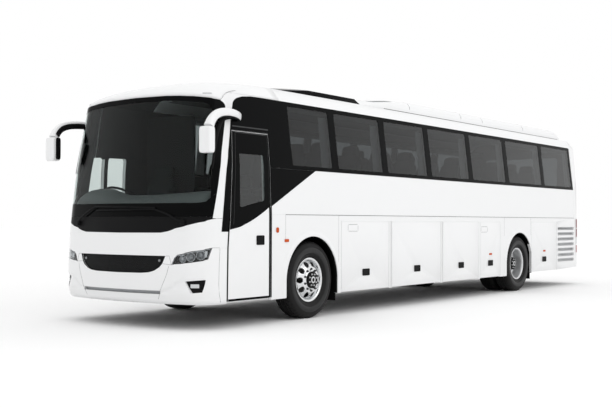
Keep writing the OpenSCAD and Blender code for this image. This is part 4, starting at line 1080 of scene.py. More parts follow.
STRIP_EDGE = ((1.18, 17.17), (1.415, 17.23), (1.556, 17.37), (1.756, 17.52), (1.959, 17.69), (2.164, 18.16),
              (2.37, 19.0), (2.518, 19.49), (2.6, 19.8))
add_strip(bm, np.linspace(1.185, 2.6, 48), lambda z: table(STRIP_EDGE, z), lambda z: END_COL, 6, -0.003, 0.0)
make_piece("door_pillar_strip", bm, *GLOSS)
bm = bmesh.new()
GRAB_Z, GRAB_IN = 1.72, 0.06
rail = [(station(x), side_y(GRAB_Z) - GRAB_IN, GRAB_Z) for x in (1.0, 1.28, 1.55)]
sweep(bm, rail, 0.022, 0.022, sides=8)
for end in (rail[0], rail[-1]):
    sweep(bm, [end, (end[0], end[1] + 0.02, end[2])], 0.03, 0.03, sides=8)
make_piece("door_grab_rail", bm, *PLASTIC, body="door")
print("door seals:", len(SEALS))

# %% [markdown]
# ## Latches
# A latch is a raised frame round a dished cup, with a paddle across it. The door and every flap
# use one function with their own corners.

# %% Latches
HANDLE_LOW, HANDLE_HIGH = (1.045, 1.015), (1.2, 1.135)


def frame_of(low, high, r=0.018):
    return rounded([low, (high[0], low[1]), high, (low[0], high[1])], r)


def inset_frame(low, high, d):
    return frame_of((low[0] + d, low[1] + d), (high[0] - d, high[1] - d), 0.012)


def latch(name, low, high, s, body):
    """A black latch: a raised frame, a dished cup and a paddle across it."""
    bm = side_sheet([frame_of(low, high), inset_frame(low, high, 0.012)], s, 0.006, 0.01)
    cup = side_sheet([inset_frame(low, high, 0.011)], s, 0.0015, 0.002)
    paddle = side_sheet([inset_frame((low[0] + 0.01, (low[1] + high[1]) / 2 - 0.01),
                                     (high[0] - 0.01, high[1] - 0.01), 0.008)], s, 0.007, 0.005)
    for part in (cup, paddle):
        mesh = bpy.data.meshes.new("latch_part")
        part.to_mesh(mesh)
        part.free()
        bm.from_mesh(mesh)
    make_piece(name, bm, *PLASTIC, body=body)


latch("door_latch", HANDLE_LOW, HANDLE_HIGH, 1, "door")
print("door latch from", HANDLE_LOW, "to", HANDLE_HIGH)

# %% [markdown]
# ## Flap latches, lamps and seams
# Each luggage flap has a black latch low in its middle, and two of them carry a small amber
# lamp. Lines too narrow to model as gaps, such as the belt moulding and panel joints, are
# slim strips that stand a hair proud.

# %% Flap details
LATCH_W, LATCH_Z, SEAL_OFF = 0.19, (0.525, 0.625), 0.0022
AMBER_Z = {4: 0.735, 5: 0.74}
LID_AT = {1: (-0.985, 1.223), 4: (-5.2, 1.18)}
for side, s in SIDES:
    for k in range(1, FLAPS_A_SIDE + 1):
        flap = f"flap_{side}_{k}"
        mid = sum(p.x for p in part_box(flap)) / 2 - FRONT_AXLE_X
        half = LATCH_W / 2
        latch(f"{flap}_latch", (mid - half, LATCH_Z[0]), (mid + half, LATCH_Z[1]), s, flap)
        if k in AMBER_Z:
            low, high = (mid - 0.05, AMBER_Z[k] - 0.016), (mid + 0.05, AMBER_Z[k] + 0.016)
            side_trim(f"{flap}_lamp", [frame_of(low, high, 0.01)], s, "lamp_amber", AMBER_LENS,
                      0.008, 0.009, flap)
        if k in LID_AT:
            x, z = LID_AT[k]
            low, high = (x - 0.13, z - 0.05), (x + 0.13, z + 0.05)
            side_trim(f"{flap}_lid_joint", [frame_of(low, high, 0.03), inset_frame(low, high, 0.004)], s,
                      *JOINT, 0.0008, 0.001, flap)
    bm = bmesh.new()
    front = 0.6 if s > 0 else 1.68
    side_line(bm, [(front, 1.401), (-9.48, 1.401)], s, 0.007, 0.005, 0.001)
    for x, z0 in ((-0.622, 0.34), (-6.03, 1.0), (-7.225, 1.0), (0.6, 1.0)):
        side_line(bm, [(x, z0 + 0.06), (x, 1.398)], s, 0.003, 0.002, 0.0)
    make_piece(f"belt_moulding_{side}", bm, *JOINT)
    bm = bmesh.new()
    seal = {"widths": 0.0036, "heights": 0.006, "up": (0, s, 0), "sides": 4}
    for k in range(1, FLAPS_A_SIDE + 1):
        low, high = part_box(f"flap_{side}_{k}")
        for x in (low.x - SEAL_OFF, high.x + SEAL_OFF):
            sweep(bm, [(x, s * (side_y(z) - 0.006), z) for z in (low.z + 0.01, 1.0, high.z)], **seal)
        top = [(x, s * (side_y(high.z) - 0.006), high.z + SEAL_OFF) for x in (low.x, high.x)]
        sweep(bm, top, **seal)
    make_piece(f"flap_seals_{side}", bm, *JOINT)
print("flaps dressed:", 2 * FLAPS_A_SIDE)

# %% [markdown]
# ## Wheel arch lips
# A soft white flange runs round each arch. One closed section is carried along the arch: up
# one side, over the top and down the other. Behind the rear wheel a flap starts at the arch,
# so the lip fades out before it. A bevel on the wall could not swell outwards as the real
# flange does.

# %% Arch lips
ARCH_R, ARCH_FOOT = 0.59, 0.315
LIP = ((-0.001, -0.003), (-0.001, 0.009), (0.006, 0.0135), (0.028, 0.011), (0.055, 0.0045),
       (0.072, 0.0004), (0.072, -0.003), (0.01, -0.003))
LINER = ((-0.0005, -0.044), (-0.0005, -0.0035), (-0.003, -0.0035), (-0.003, -0.044))
LIP_END = {FRONT_AXLE_X: math.pi, REAR_AXLE_X: math.radians(142)}


def add_lip(bm, axle_x, s, section):
    last = LIP_END[axle_x]
    path = [(ARCH_R, ARCH_FOOT, 1.0, 0.0)]
    for a in np.linspace(0.0, last, 49):
        path.append((math.cos(a) * ARCH_R, WHEEL_Z + math.sin(a) * ARCH_R, math.cos(a), math.sin(a)))
    if last == math.pi:
        path.append((-ARCH_R, ARCH_FOOT, -1.0, 0.0))
    add_loft(bm, [[(axle_x + x + d * u, s * (HALF_W + p), z + d * w) for d, p in section]
                  for x, z, u, w in path])


for side, s in SIDES:
    for name, section, slot, material in (("lips", LIP, *WHITE),
                                          ("liners", LINER, "rubber", RUBBER)):
        bm = bmesh.new()
        for axle_x in LIP_END:
            add_lip(bm, axle_x, s, section)
        make_piece(f"arch_{name}_{side}", bm, slot, material, 40.0)
print("arches:", 2 * len(LIP_END))

# %% [markdown]
# ## Tyres
# A road tyre is a turned section with grooves round it and notches across its shoulders. The
# section is spun in short and long steps, and the short steps sink at the shoulder, so each
# notch has real walls. A fine ring stands on the outer side wall of each wheel, and its lighter,
# glossier finish is a painted sheen where light catches the bulge of the wall. A bump in the
# material would look flat at the edge of the tyre.

# %% Tyres
SECTION = ((0.2858, 0.099), (0.2993, 0.099), (0.314, 0.118), (0.334, 0.134), (0.352, 0.1405),
           (0.354, 0.1425), (0.360, 0.1425), (0.362, 0.1425), (0.39, 0.1475), (0.415, 0.149),
           (0.44, 0.1475), (0.444, 0.149), (0.45, 0.1475), (0.468, 0.1435), (0.485, 0.137),
           (0.498, 0.129), (0.508, 0.12), (0.516, 0.109), (0.5205, 0.097), (0.522, 0.085),
           (0.522, 0.062), (0.511, 0.059), (0.511, 0.051), (0.522, 0.048), (0.522, 0.021),
           (0.511, 0.018), (0.511, 0.009), (0.522, 0.006))
TYRE_PROFILE = [*SECTION, *((r, -h) for r, h in reversed(SECTION))]
WALL_BAND = ((0.364, 0.1425), (0.368, 0.1448), (0.39, 0.149), (0.415, 0.1505), (0.434, 0.1493),
             (0.438, 0.147), (0.415, 0.1475), (0.39, 0.146), (0.364, 0.1425))
NOTCHES, NOTCH_DEPTH = 56, 0.008


def add_tyre(bm, matrix):
    pitch = 2 * math.pi / NOTCHES
    rows = []
    for k in range(NOTCHES):
        for share, sunk in ((0.0, 0), (0.4, 0), (0.74, 0), (0.78, 1), (0.96, 1)):
            a = (k + share) * pitch
            row = []
            for r, h in TYRE_PROFILE:
                edge_rib = 0.07 < abs(h) < 0.125 and r > 0.5
                q = r - NOTCH_DEPTH if sunk and edge_rib else r
                row.append(matrix @ Vector((q * math.cos(a), q * math.sin(a), h)))
            rows.append(row)
    add_grid(bm, rows, close_rows=True, close_cols=True)


def wheel_matrix(x, y, s, out=0.0):
    """The wheel's own axis, Z, turned to point out of the coach's side s."""
    return (Matrix.Translation((x, s * (y + out), WHEEL_Z))
            @ Matrix.Rotation(-s * math.pi / 2, 4, "X"))


FRONT_WHEEL_Y, REAR_WHEEL_Y, TWIN_HALF = 1.13, 0.96, 0.17
WHEELS = (("front", FRONT_AXLE_X, FRONT_WHEEL_Y, (0.0,)),
          ("rear", REAR_AXLE_X, REAR_WHEEL_Y, (-TWIN_HALF, TWIN_HALF)))
for side, s in SIDES:
    for axle, x, y, places in WHEELS:
        body = f"wheel_{axle}_{side}"
        bm = bmesh.new()
        for off in places:
            add_tyre(bm, wheel_matrix(x, y + off, s))
        tyre = make_piece(f"road_tyre_{axle}_{side}", bm, "tyre", TYRE, 30.0, body)
        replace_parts(tyre, f"tyre_{axle}_{side}")
        # A thin ring on the outer wall in the lighter finish: a painted sheen on the bulge of the wall.
        bm = bmesh.new()
        lathe(bm, WALL_BAND, 112, wheel_matrix(x, y + places[-1], s))
        make_piece(f"tyre_wall_{axle}_{side}", bm, "tyre", TYRE_WALL_SHEEN, 40.0, body)
print("tyre faces:", len(tyre.data.polygons))

# %% [markdown]
# ## Rims, nuts and hubs
# The rims keep the turned and drilled form of their solids with smooth faces. Ten nuts stand
# in a ring on each, made once and repeated by the ring tree, and a dark hub closes the
# middle. Nuts placed by hand would soon stand unevenly.


# %% Rims
def nut_part():
    bm = bmesh.new()
    lathe(bm, [(0.0, 0.0), (0.026, 0.0), (0.026, 0.003), (0.0205, 0.006)], 14, Matrix())
    lathe(bm, [(0.0205, 0.004), (0.0205, 0.022), (0.0165, 0.026), (0.0, 0.026)], 6, Matrix())
    lathe(bm, [(0.0095, 0.02), (0.0095, 0.036), (0.0, 0.037)], 8, Matrix())
    bmesh.ops.remove_doubles(bm, verts=bm.verts, dist=0.00001)
    return part_object("wheel_nut", bm)


HUBS = {"front": (((0.1135, 0.145), (0.1125, 0.17), (0.104, 0.1745), (0.06, 0.177), (0.045, 0.177),
                   (0.04, 0.182), (0.0, 0.183)), (0.147, 0.1455), (0.078, 0.1755), ALLOY, "rim_alloy"),
        "rear": (((0.158, 0.0405), (0.1265, 0.151), (0.1112, 0.216), (0.1, 0.2215), (0.06, 0.2262),
                  (0.05, 0.232), (0.0, 0.233)), (0.176, 0.0195), (0.085, 0.223), SILVER, "rim_steel")}
HUB_RING = ((0.046, -0.008), (0.046, 0.001), (0.04, 0.004), (0.028, 0.004), (0.026, -0.001))
FIRST_NUT = Matrix.Rotation(math.radians(18), 4, "Z")
nut = nut_part()
for side, s in SIDES:
    for axle, x, y, _ in WHEELS:
        body = f"wheel_{axle}_{side}"
        profile, nuts_at, bolts_at, metal, slot = HUBS[axle]
        refine(f"rim_{axle}_{side}", f"wheel_disc_{axle}_{side}", slot, metal, angle=40.0)
        for name, (r, h), size, count, tone in (("wheel_nuts", nuts_at, 0.66, 10, NUT_STEEL),
                                                ("hub_bolts", bolts_at, 0.45, 8, SILVER)):
            place = wheel_matrix(x, y, s, h) @ FIRST_NUT @ Matrix.Scale(size, 4)
            grow(f"{name}_{axle}_{side}", RING_TREE, {"Part": nut, "Count": count, "Radius": r / size},
                 "chassis", tone, place, body=body)
        top = profile[-1][1]
        ring = [(r, top + h) for r, h in HUB_RING]
        for name, turned, turns, part_slot, tone in (
                ("hub", profile, 48, "chassis", BLACK_PLASTIC), ("hub_ring", ring, 32, "rim_steel", SILVER)):
            bm = bmesh.new()
            lathe(bm, turned, turns, wheel_matrix(x, y, s))
            make_piece(f"{name}_{axle}_{side}", bm, part_slot, tone, body=body)
bpy.data.objects.remove(nut)
print("wheels dressed")

# %% [markdown]
# ## Grille
# The grille is a black net in a slim frame over a dark plate. The net starts as bare edges on
# the front skin, in diamonds that stop at the slanted ends, and a tree makes wires of them. A
# pattern on a plate would lose its depth from the side.


# %% Grille
def column_at(y, z):
    """The column of the front arc that lies at width y."""
    share = math.asin(abs(y) / FRONT_R) / corner_at(z)[2]
    return math.copysign(float(np.interp(share, FRONT_SHARE, range(len(FRONT_SHARE)))), y)


NET_STEP, NET_HALF, NET_Z = 0.0155, 0.79, (0.6805, 0.889)
NET_DEEP, WIRE_R, KNOB_Z, KNOB_Y = 0.012, 0.0016, 0.835, 0.66
net_rows = int((NET_Z[1] - NET_Z[0]) / (NET_STEP * 0.62))
net_cols = int(NET_HALF / NET_STEP)
points, lookup = [], {}
for r in range(net_rows + 1):
    z = NET_Z[0] + (NET_Z[1] - NET_Z[0]) * r / net_rows
    for c in range(-net_cols, net_cols + 1):
        i = column_at(c * NET_STEP, z)
        if (r + c) % 2 == 0 and z > edge(BUMPER_TOP)(i) + 0.002:
            lookup[r, c] = len(points)
            points.append(skin(z, i, NET_DEEP))
wires = [(lookup[r, c], lookup[r + 1, c + d]) for r, c in lookup for d in (-1, 1)
         if (r + 1, c + d) in lookup]
net = bpy.data.meshes.new("grille_edges")
net.from_pydata(points, wires, [])
grow("grille_net", NET_TREE, {"Wire Radius": WIRE_R}, "black_plastic", NET_GREY, base=net)
skin_piece("grille_plate", [
    (spread(-5.7, 5.7, 2), edge(BUMPER_TOP, SEAM), edge(MASK_LOW, -SEAM), 2, 0.022, 0.03),
], "black_plastic", BLACK_GLOSS, ["grille"])
bm = bmesh.new()
foot = [skin(edge(BUMPER_TOP, 0.004)(i), i, 0.004) for i in spread(-5.68, 5.68, 3)]
head = [skin(0.888, i, 0.004) for i in reversed(spread(-5.68, 5.68, 2))]
sweep(bm, foot + head, 0.008, 0.012, up=(1, 0, 0), sides=6, close=True)
knobs = bmesh.new()
for y in (-KNOB_Y, KNOB_Y):
    at = skin(KNOB_Z, column_at(y, KNOB_Z), NET_DEEP)
    lathe(knobs, [(0.016, -0.008), (0.016, 0.001), (0.012, 0.005), (0.0, 0.006)], 18,
          Matrix.Translation(at) @ Matrix.Rotation(math.pi / 2, 4, "Y"))
make_piece("grille_knobs", knobs, "rim_alloy", GREY_TRIM)
make_piece("grille_frame", bm, *PLASTIC)
print("grille wires:", len(wires))

# %% [markdown]
# ## Lamps
# A headlamp is a clear cover in the line of the skin over a black housing, with chrome bowls
# behind it. The bowls face along the skin's own normal, so they turn with the corner. Flat
# discs would all catch the light at once.


# %% Headlamps and fog lamps
def facing(z, i, t):
    """A place on the skin whose Z axis points straight out of it."""
    step = 0.01 if i > 0 else -0.01
    along = skin(z, i + step, t) - skin(z, i - step, t)
    out = along.cross(skin(z + 0.01, i, t) - skin(z - 0.01, i, t)).normalized()
    if out.x < 0:
        out.negate()
    return looking(skin(z, i, t), out)


LAMP_COLS = spread(7.1, 15.35, 3)
LAMP_EDGES = (edge(BUMPER_TOP, SEAM), edge(MASK_LOW, -SEAM))
BOWLS = ((9.3, 0.862, 0.04), (10.9, 0.884, 0.05), (12.6, 0.905, 0.052))
QUARTER = np.linspace(0, math.pi / 2, 7)
skin_piece("headlamp_covers", both((LAMP_COLS, *LAMP_EDGES, 6, 0.001, 0.004)), "lamp_clear", LENS_GLASS,
           ["front_lamps"])
skin_piece("headlamp_housings", both((LAMP_COLS, *LAMP_EDGES, 3, 0.05, 0.06)), "gloss_black", BLACK_PLASTIC)
brow = (spread(8.5, 15.2, 3), edge(MASK_LOW, -0.016), edge(MASK_LOW, -0.009), 1, 0.012, 0.02)
end_bar = (spread(13.7, 14.6, 3), edge(BUMPER_TOP, 0.03), edge(MASK_LOW, -0.03), 2, 0.018, 0.03)
skin_piece("headlamp_brows", [*both(brow), *both(end_bar)], "rim_alloy", CHROME)
bowls, balls = bmesh.new(), bmesh.new()
for s in (-1, 1):
    for i, z, r in BOWLS:
        place = facing(z, s * i, 0.016)
        lathe(bowls, [(r + 0.005, -0.004), (r + 0.005, 0.002), (r, 0.002), (r * 0.93, -0.008),
                      (r * 0.72, -0.022), (r * 0.4, -0.03), (r * 0.3, -0.031)], 28, place)
        ball = [(0.5 * r * math.cos(a), -0.03 + 0.45 * r * math.sin(a)) for a in QUARTER]
        lathe(balls, ball, 20, place)
make_piece("headlamp_bowls", bowls, "rim_alloy", CHROME)
make_piece("headlamp_balls", balls, "lamp_clear", GREY_TRIM)
pocket = (spread(9, 14, 2), flat_edge(0.435), flat_edge(0.63), 2, 0.034, 0.05)
skin_piece("fog_pockets", both(pocket), *PLASTIC)
fog_lens = (spread(10.9, 12.4, 3), flat_edge(0.515), flat_edge(0.56), 2, 0.014, 0.034)
skin_piece("fog_lamps", both(fog_lens), "lamp_clear", PALE_LENS)
print("headlamp bowls:", 2 * len(BOWLS))

# %% [markdown]
# ## Wipers
# Each wiper has an arm that rises from its pivot on the cowl to an elbow, and a blade that
# lies along the foot of the glass. Arms and blades follow the skin a little way out from it.
# Straight bars would cut into the bent glass.


# %% Wipers
def skin_line(points, t, steps=6):
    """Points on the skin between marks of (column, height)."""
    out = []
    for (i0, z0), (i1, z1) in zip(points, points[1:]):
        out += [skin(z0 + (z1 - z0) * k / steps, i0 + (i1 - i0) * k / steps, t) for k in range(steps)]
    return out + [skin(points[-1][1], points[-1][0], t)]


WIPERS = (((-7.2, 1.285), (-3.3, 1.492), (4.1, 1.472)), ((9.2, 1.305), (4.0, 1.455), (-3.2, 1.445)))
OFF_GLASS = (1, 0, 0.1)
bm = bmesh.new()
for pivot, elbow, tip in WIPERS:
    arm = skin_line((pivot, elbow), -0.03)
    n = len(arm)
    sweep(bm, arm, [0.03 - 0.014 * k / n for k in range(n)], 0.014, OFF_GLASS, 8)
    sweep(bm, skin_line((elbow, tip), -0.022, 14), 0.02, 0.014, OFF_GLASS, 8)
    sweep(bm, skin_line((elbow, tip), -0.008, 14), 0.009, 0.018, OFF_GLASS, 6)
    lathe(bm, [(0.034, -0.03), (0.034, 0.0), (0.028, 0.012), (0.0, 0.016)], 20,
          facing(pivot[1], pivot[0], -0.026))
    reach = skin_line((elbow, (elbow[0] * 0.4 + tip[0] * 0.6, tip[1] + 0.012)), -0.034, 8)
    sweep(bm, reach, 0.013, 0.01, OFF_GLASS, 6)
wiper_piece = make_piece("wiper_set", bm, *PLASTIC)
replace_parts(wiper_piece, "wipers")
print("wiper faces:", len(wiper_piece.data.polygons))

# %% [markdown]
# ## Mirrors
# The arms are broad white blades that leave the corner above the door, run forward and turn
# down into the heads. The underside of each is black, with a bracket to the pillar. A mirror
# glass looks back from each head. A sweep whose width and height change follows the blades,
# where a plain pipe could not.

# %% Mirrors
ARM = ((1.42, 1.195, 2.604, 0.092, 0.044), (1.49, 1.255, 2.61, 0.094, 0.05),
       (1.64, 1.32, 2.624, 0.094, 0.056), (1.8, 1.362, 2.627, 0.096, 0.06),
       (1.96, 1.39, 2.612, 0.10, 0.066), (2.08, 1.4, 2.572, 0.104, 0.074),
       (2.16, 1.4, 2.505, 0.108, 0.09), (2.205, 1.4, 2.427, 0.104, 0.12))
STAY = ((1.62, 1.27, 2.6), (1.75, 1.222, 2.56), (1.84, 1.216, 2.405), (1.9, 1.218, 2.18),
        (1.95, 1.224, 1.945))
HEAD_LOW, HEAD_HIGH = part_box("mirror_heads")
HEAD_W, HEAD_LONGER = 0.172, 0.008
covers, shells, dark, glasses = (bmesh.new() for _ in range(4))
for side, s in SIDES:
    up = (0, -s, 0.02)
    path = curve_points([(station(x), s * y, z) for x, y, z, _, _ in ARM], 5)
    marks = np.linspace(0, len(ARM) - 1, len(path))
    tall, deep = (list(np.interp(marks, range(len(ARM)), [row[k] for row in ARM])) for k in (3, 4))
    sweep(covers, path, tall, deep, up, sides=14, power=3.0)
    under = [p + Vector((-0.006, -s * 0.012, -0.02)) for p in path[5:33]]
    sweep(dark, under, [w * 0.8 for w in tall[5:33]], deep[5:33], up, sides=12, power=3.4)
    stay = curve_points([(station(x), s * y, z) for x, y, z in STAY], 5)
    sweep(dark, stay, list(np.linspace(0.07, 0.03, len(stay))), 0.024, up, sides=8)
    y0, y1 = (HEAD_HIGH.y - HEAD_W, HEAD_HIGH.y) if s > 0 else (HEAD_LOW.y, HEAD_LOW.y + HEAD_W)
    inner = y0 if s > 0 else y1
    back, low, high = HEAD_LOW.x + 0.012 - HEAD_LONGER, HEAD_LOW.z, HEAD_HIGH.z
    puffed_box(shells, (back, y0, low), (HEAD_HIGH.x + HEAD_LONGER, y1, high), n=14, power=8.0)
    puffed_box(dark, (back - 0.012, y0 + 0.005, low + 0.005), (back + 0.028, y1 - 0.005, high - 0.005),
               n=8, power=7.0)
    puffed_box(dark, (back - 0.01, inner - 0.004, low + 0.02), (back + 0.07, inner + 0.004, high - 0.005),
               n=8, power=7.0)
    puffed_box(glasses, (back - 0.014, y0 + 0.014, low + 0.016), (back - 0.008, y1 - 0.014, high - 0.016),
               n=8, power=9.0)
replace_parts(make_piece("mirror_arm_covers", covers, *WHITE, 60.0), "mirror_arms")
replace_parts(make_piece("mirror_shells", shells, *WHITE, 60.0), "mirror_heads")
make_piece("mirror_brackets", dark, *PLASTIC, 60.0)
make_piece("mirror_glasses", glasses, "rim_alloy", MIRROR, 60.0)
print("mirror head box:", [round(c, 3) for c in (*HEAD_LOW, *HEAD_HIGH)])

# %% [markdown]
# ## Seats
# Each seat has a crowned cushion, a leaning back with side bolsters and a headrest, on a slim
# base. One pair is made and the row tree repeats it down both sides of the saloon. Rounded
# cubes are enough, since the glass shows little more than their upper parts.


# %% Seats
DECK_Z, PLATFORM_Z = 1.37, 1.0
ROWS, ROW_PITCH, FIRST_ROW = 10, 0.8, -0.6
SEAT_Y = (0.26, 1.12)


def lean_back(x, z, degrees):
    return Matrix.Translation((x, 0, z)) @ Matrix.Rotation(math.radians(-degrees), 4, "Y")


def add_seat(bm, y0, y1, n=5):
    puffed_box(bm, (0.02, y0 + 0.01, 0.33), (0.47, y1 - 0.01, 0.455), n=n, power=4.5)
    tilt = lean_back(0.06, 0.40, 15.0)
    puffed_box(bm, (-0.055, y0 + 0.015, 0.0), (0.055, y1 - 0.015, 0.58), tilt, n=n + 1, power=4.0)
    for a, b in ((y0 + 0.012, y0 + 0.07), (y1 - 0.07, y1 - 0.012)):
        puffed_box(bm, (-0.04, a, 0.04), (0.075, b, 0.46), tilt, n=4, power=3.0)
    puffed_box(bm, (-0.045, y0 + 0.07, 0.5), (0.05, y1 - 0.07, 0.7), tilt, n=n, power=3.6)


seat_bm = bmesh.new()
mid_y = sum(SEAT_Y) / 2
add_seat(seat_bm, SEAT_Y[0] - mid_y, 0.0)
add_seat(seat_bm, 0.0, SEAT_Y[1] - mid_y)
seat_part = part_object("seat_pair", seat_bm)
frame_bm = bmesh.new()
for y in (-0.36, 0.0, 0.36):
    sweep(frame_bm, [(0.1, y, 0.0), (0.16, y, 0.12), (0.2, y, 0.35)], 0.03, 0.05, up=(0, 1, 0), sides=6)
sweep(frame_bm, [(0.0, -0.42, 0.32), (0.0, 0.42, 0.32)], 0.03, 0.03, sides=6)
sweep(frame_bm, [(0.42, -0.42, 0.32), (0.42, 0.42, 0.32)], 0.03, 0.03, sides=6)
for y in (-0.43, 0.43):
    sweep(frame_bm, curve_points([(0.02, y, 0.35), (0.04, y, 0.6), (0.34, y, 0.63)], 4), 0.03, 0.035,
          up=(0, 1, 0), sides=6)
frame_part = part_object("seat_frame", frame_bm)
place = Matrix.Translation((station(FIRST_ROW), -mid_y, DECK_Z))
rows = {"Columns": ROWS, "Column Step": (-ROW_PITCH, 0, 0), "Rows": 2, "Row Step": (0, 2 * mid_y, 0)}
seats = grow("saloon_seats", ROW_TREE, {"Part": seat_part, **rows}, "seat_cloth", SEAT_CLOTH, place,
             angle=70.0)
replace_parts(seats, "passenger_seats")
grow("seat_frames", ROW_TREE, {"Part": frame_part, **rows}, "chassis", BLACK_PLASTIC, place)
for part in (seat_part, frame_part):
    bpy.data.objects.remove(part)

print("seat faces:", len(seats.data.polygons))

# %% [markdown]
# ## The driver's place
# The driver sits on one larger seat on a pedestal, with a dark screen behind. The seat comes
# from the same function as the others, with finer faces.

# %% Driver
DRIVER_Y = -0.7
bm = bmesh.new()
add_seat(bm, -0.25, 0.25, 8)
bm.transform(Matrix.Translation((station(0.9), DRIVER_Y, PLATFORM_Z)))
driver = make_piece("driver_cushions", bm, "seat_cloth", SEAT_CLOTH, 70.0)
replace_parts(driver, "driver_seat")
bm = bmesh.new()
puffed_box(bm, (0.0, -0.2, 0.0), (0.42, 0.2, 0.06), n=6, power=8.0)
lathe(bm, [(0.16, 0.055), (0.13, 0.12), (0.12, 0.24), (0.17, 0.33), (0.0, 0.335)], 24,
      Matrix.Translation((0.22, 0, 0)))
bm.transform(Matrix.Translation((station(0.9), DRIVER_Y, PLATFORM_Z)))
make_piece("driver_pedestal", bm, *PLASTIC)
bm = bmesh.new()
puffed_box(bm, (station(0.69), -1.16, DECK_Z + 0.002), (station(0.715), -0.22, 2.8), n=10, power=16.0)
make_piece("driver_screen", bm, *CAB_INSIDE)
print("driver seat faces:", len(driver.data.polygons))

# %% [markdown]
# ## Curtains
# A gathered curtain hangs at the rear edge of each pane. Its folds are a wave along the
# window that opens a little towards the hem, laid just inside the lean of the wall, and its
# flat width is the length of that wave. A cloth simulation could make the folds, but a drawn
# wave comes out the same each run.

# %% Curtains
CURTAIN_W, FOLDS, FOLD_STEPS, DROPS = 0.19, 4, 8, 12
HEM_Z, RAIL_Z, CURTAIN_IN = 2.03, 2.77, 0.082
for side, s in SIDES:
    for k in range(1, len(PANES)):
        rows, length = [], 0.0
        for r in range(DROPS + 1):
            f = r / DROPS
            z = HEM_Z + (RAIL_Z - HEM_Z) * f
            swing = 0.0085 - 0.003 * f
            row = []
            for c in range(FOLD_STEPS * FOLDS + 1):
                u = c / (FOLD_STEPS * FOLDS)
                x = PANES[k] + 0.03 + CURTAIN_W * u
                wave = math.sin(2 * math.pi * FOLDS * u + 0.6 * math.sin(3 * f + k))
                row.append(Vector((station(x), s * (side_y(z) - CURTAIN_IN + swing * wave), z)))
            length += sum((b - a).length for a, b in zip(row, row[1:])) / (DROPS + 1)
            rows.append(row)
        bm = bmesh.new()
        add_grid(bm, rows)
        curtain = make_piece(f"curtain_{side}_{k}", bm, "curtain_cloth", CURTAIN_CLOTH, 80.0)
        if side == "left" and k == 1:
            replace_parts(curtain, "curtains")
print("curtain flat width:", round(length, 3))

# %% [markdown]
# ## Louvres
# Behind the last flap cooling air goes in between slanted blades. One pair of blades is made, and
# the row tree repeats it up the opening.

# %% Louvres
LOUVRE_X, LOUVRE_LOW, LOUVRE_IN = -9.0275, 0.53, 0.03
bm = bmesh.new()
for z in (-0.0145, 0.0145):
    tilt = Matrix.Translation((0, 0, z)) @ Matrix.Rotation(math.radians(38), 4, "X")
    puffed_box(bm, (-0.434, -0.003, -0.011), (0.434, 0.003, 0.015), tilt, n=4, power=12.0)
blade = part_object("louvre_blade", bm)
rows = {"Columns": 1, "Column Step": (1, 0, 0), "Rows": 7, "Row Step": (0, 0, 0.1086)}
for side, s in SIDES:
    at = Matrix.Translation((station(LOUVRE_X), s * (HALF_W - LOUVRE_IN), LOUVRE_LOW))
    blades = grow(f"louvres_{side}", ROW_TREE, {"Part": blade, **rows}, "rim_steel", SILVER,
                  at @ Matrix.Diagonal((1, s, 1, 1)))
    if s < 0:
        blades.data.flip_normals()
bpy.data.objects.remove(blade)
print("louvre faces a side:", len(blades.data.polygons))

# %% [markdown]
# ## Roof details
# The roof carries pale marker lamps at its front corners, a small aerial and the joints of the
# cooling unit's cover, with a dark line along each foot of the cover that is partly its joint
# with the roof and partly painted shadow in the crease. Each finds the solid below it by a ray,
# so that it lies on the curve.


# %% Roof details
def tree_of(node):
    mesh = NODES[node].data
    return BVHTree.FromPolygons([v.co for v in mesh.vertices], [p.vertices for p in mesh.polygons])


TREES = {node: tree_of(node) for node in ("roof", "roof_dome", "ac_unit")}


def top_of(node, x, y):
    """Height of a solid's surface over a place, found by looking straight down."""
    at = TREES[node].ray_cast(Vector((x, y, 4.0)), Vector((0, 0, -1)))[0]
    return at.z if at else None


def side_of(node, x, z, s):
    """Width of a solid at a place, found by looking straight in from the side."""
    at = TREES[node].ray_cast(Vector((x, 3.0 * s, z)), Vector((0, -s, 0)))[0]
    return at.y if at else None


bm = bmesh.new()
for s in (-1, 1):
    ahead = Vector((station(3.0), facing(2.83, s * 11.65, 0.0).translation.y, 2.875))
    at, out, _, _ = TREES["roof_dome"].ray_cast(ahead, Vector((-1, 0, 0)))
    if at:
        puffed_box(bm, (-0.06, -0.016, -0.006), (0.06, 0.016, 0.008), looking(at, out), n=6, power=2.6)
make_piece("roof_markers", bm, "lamp_clear", PALE_LENS, 60.0)

AERIAL_X, AERIAL_Y = 0.42, 0.12
base = max(top_of(node, station(AERIAL_X), AERIAL_Y) or 0.0 for node in ("roof", "roof_dome"))
bm = bmesh.new()
for back, ahead, half, low, top, n, power in ((0.2, 0.2, 0.05, -0.006, 0.016, 8, 3.0),
                                              (0.09, 0.05, 0.02, 0.0, 0.034, 6, 2.6)):
    puffed_box(bm, (station(AERIAL_X - back), AERIAL_Y - half, base + low),
               (station(AERIAL_X + ahead), AERIAL_Y + half, base + top), n=n, power=power)
make_piece("roof_aerial", bm, "lamp_clear", PALE_LENS, 60.0)

AC_LOW, AC_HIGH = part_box("ac_unit")
COVER_JOINTS = (-3.1, -4.9, -5.75, -7.55)
flank_z = np.linspace(AC_LOW.z + 0.06, AC_HIGH.z - 0.06, 7)
crest_y = np.linspace(AC_HIGH.y - 0.12, AC_LOW.y + 0.12, 25)
bm = bmesh.new()
for joint in COVER_JOINTS:
    x = station(joint)
    left, right = ([(x, side_of("ac_unit", x, z, s), z) for z in flank_z] for s in (1, -1))
    crest = [(x, y, top_of("ac_unit", x, y)) for y in crest_y]
    line = [p for p in (*left, *crest, *reversed(right)) if None not in p]
    sweep(bm, line, 0.003, 0.009, up=(1, 0, 0), sides=6)
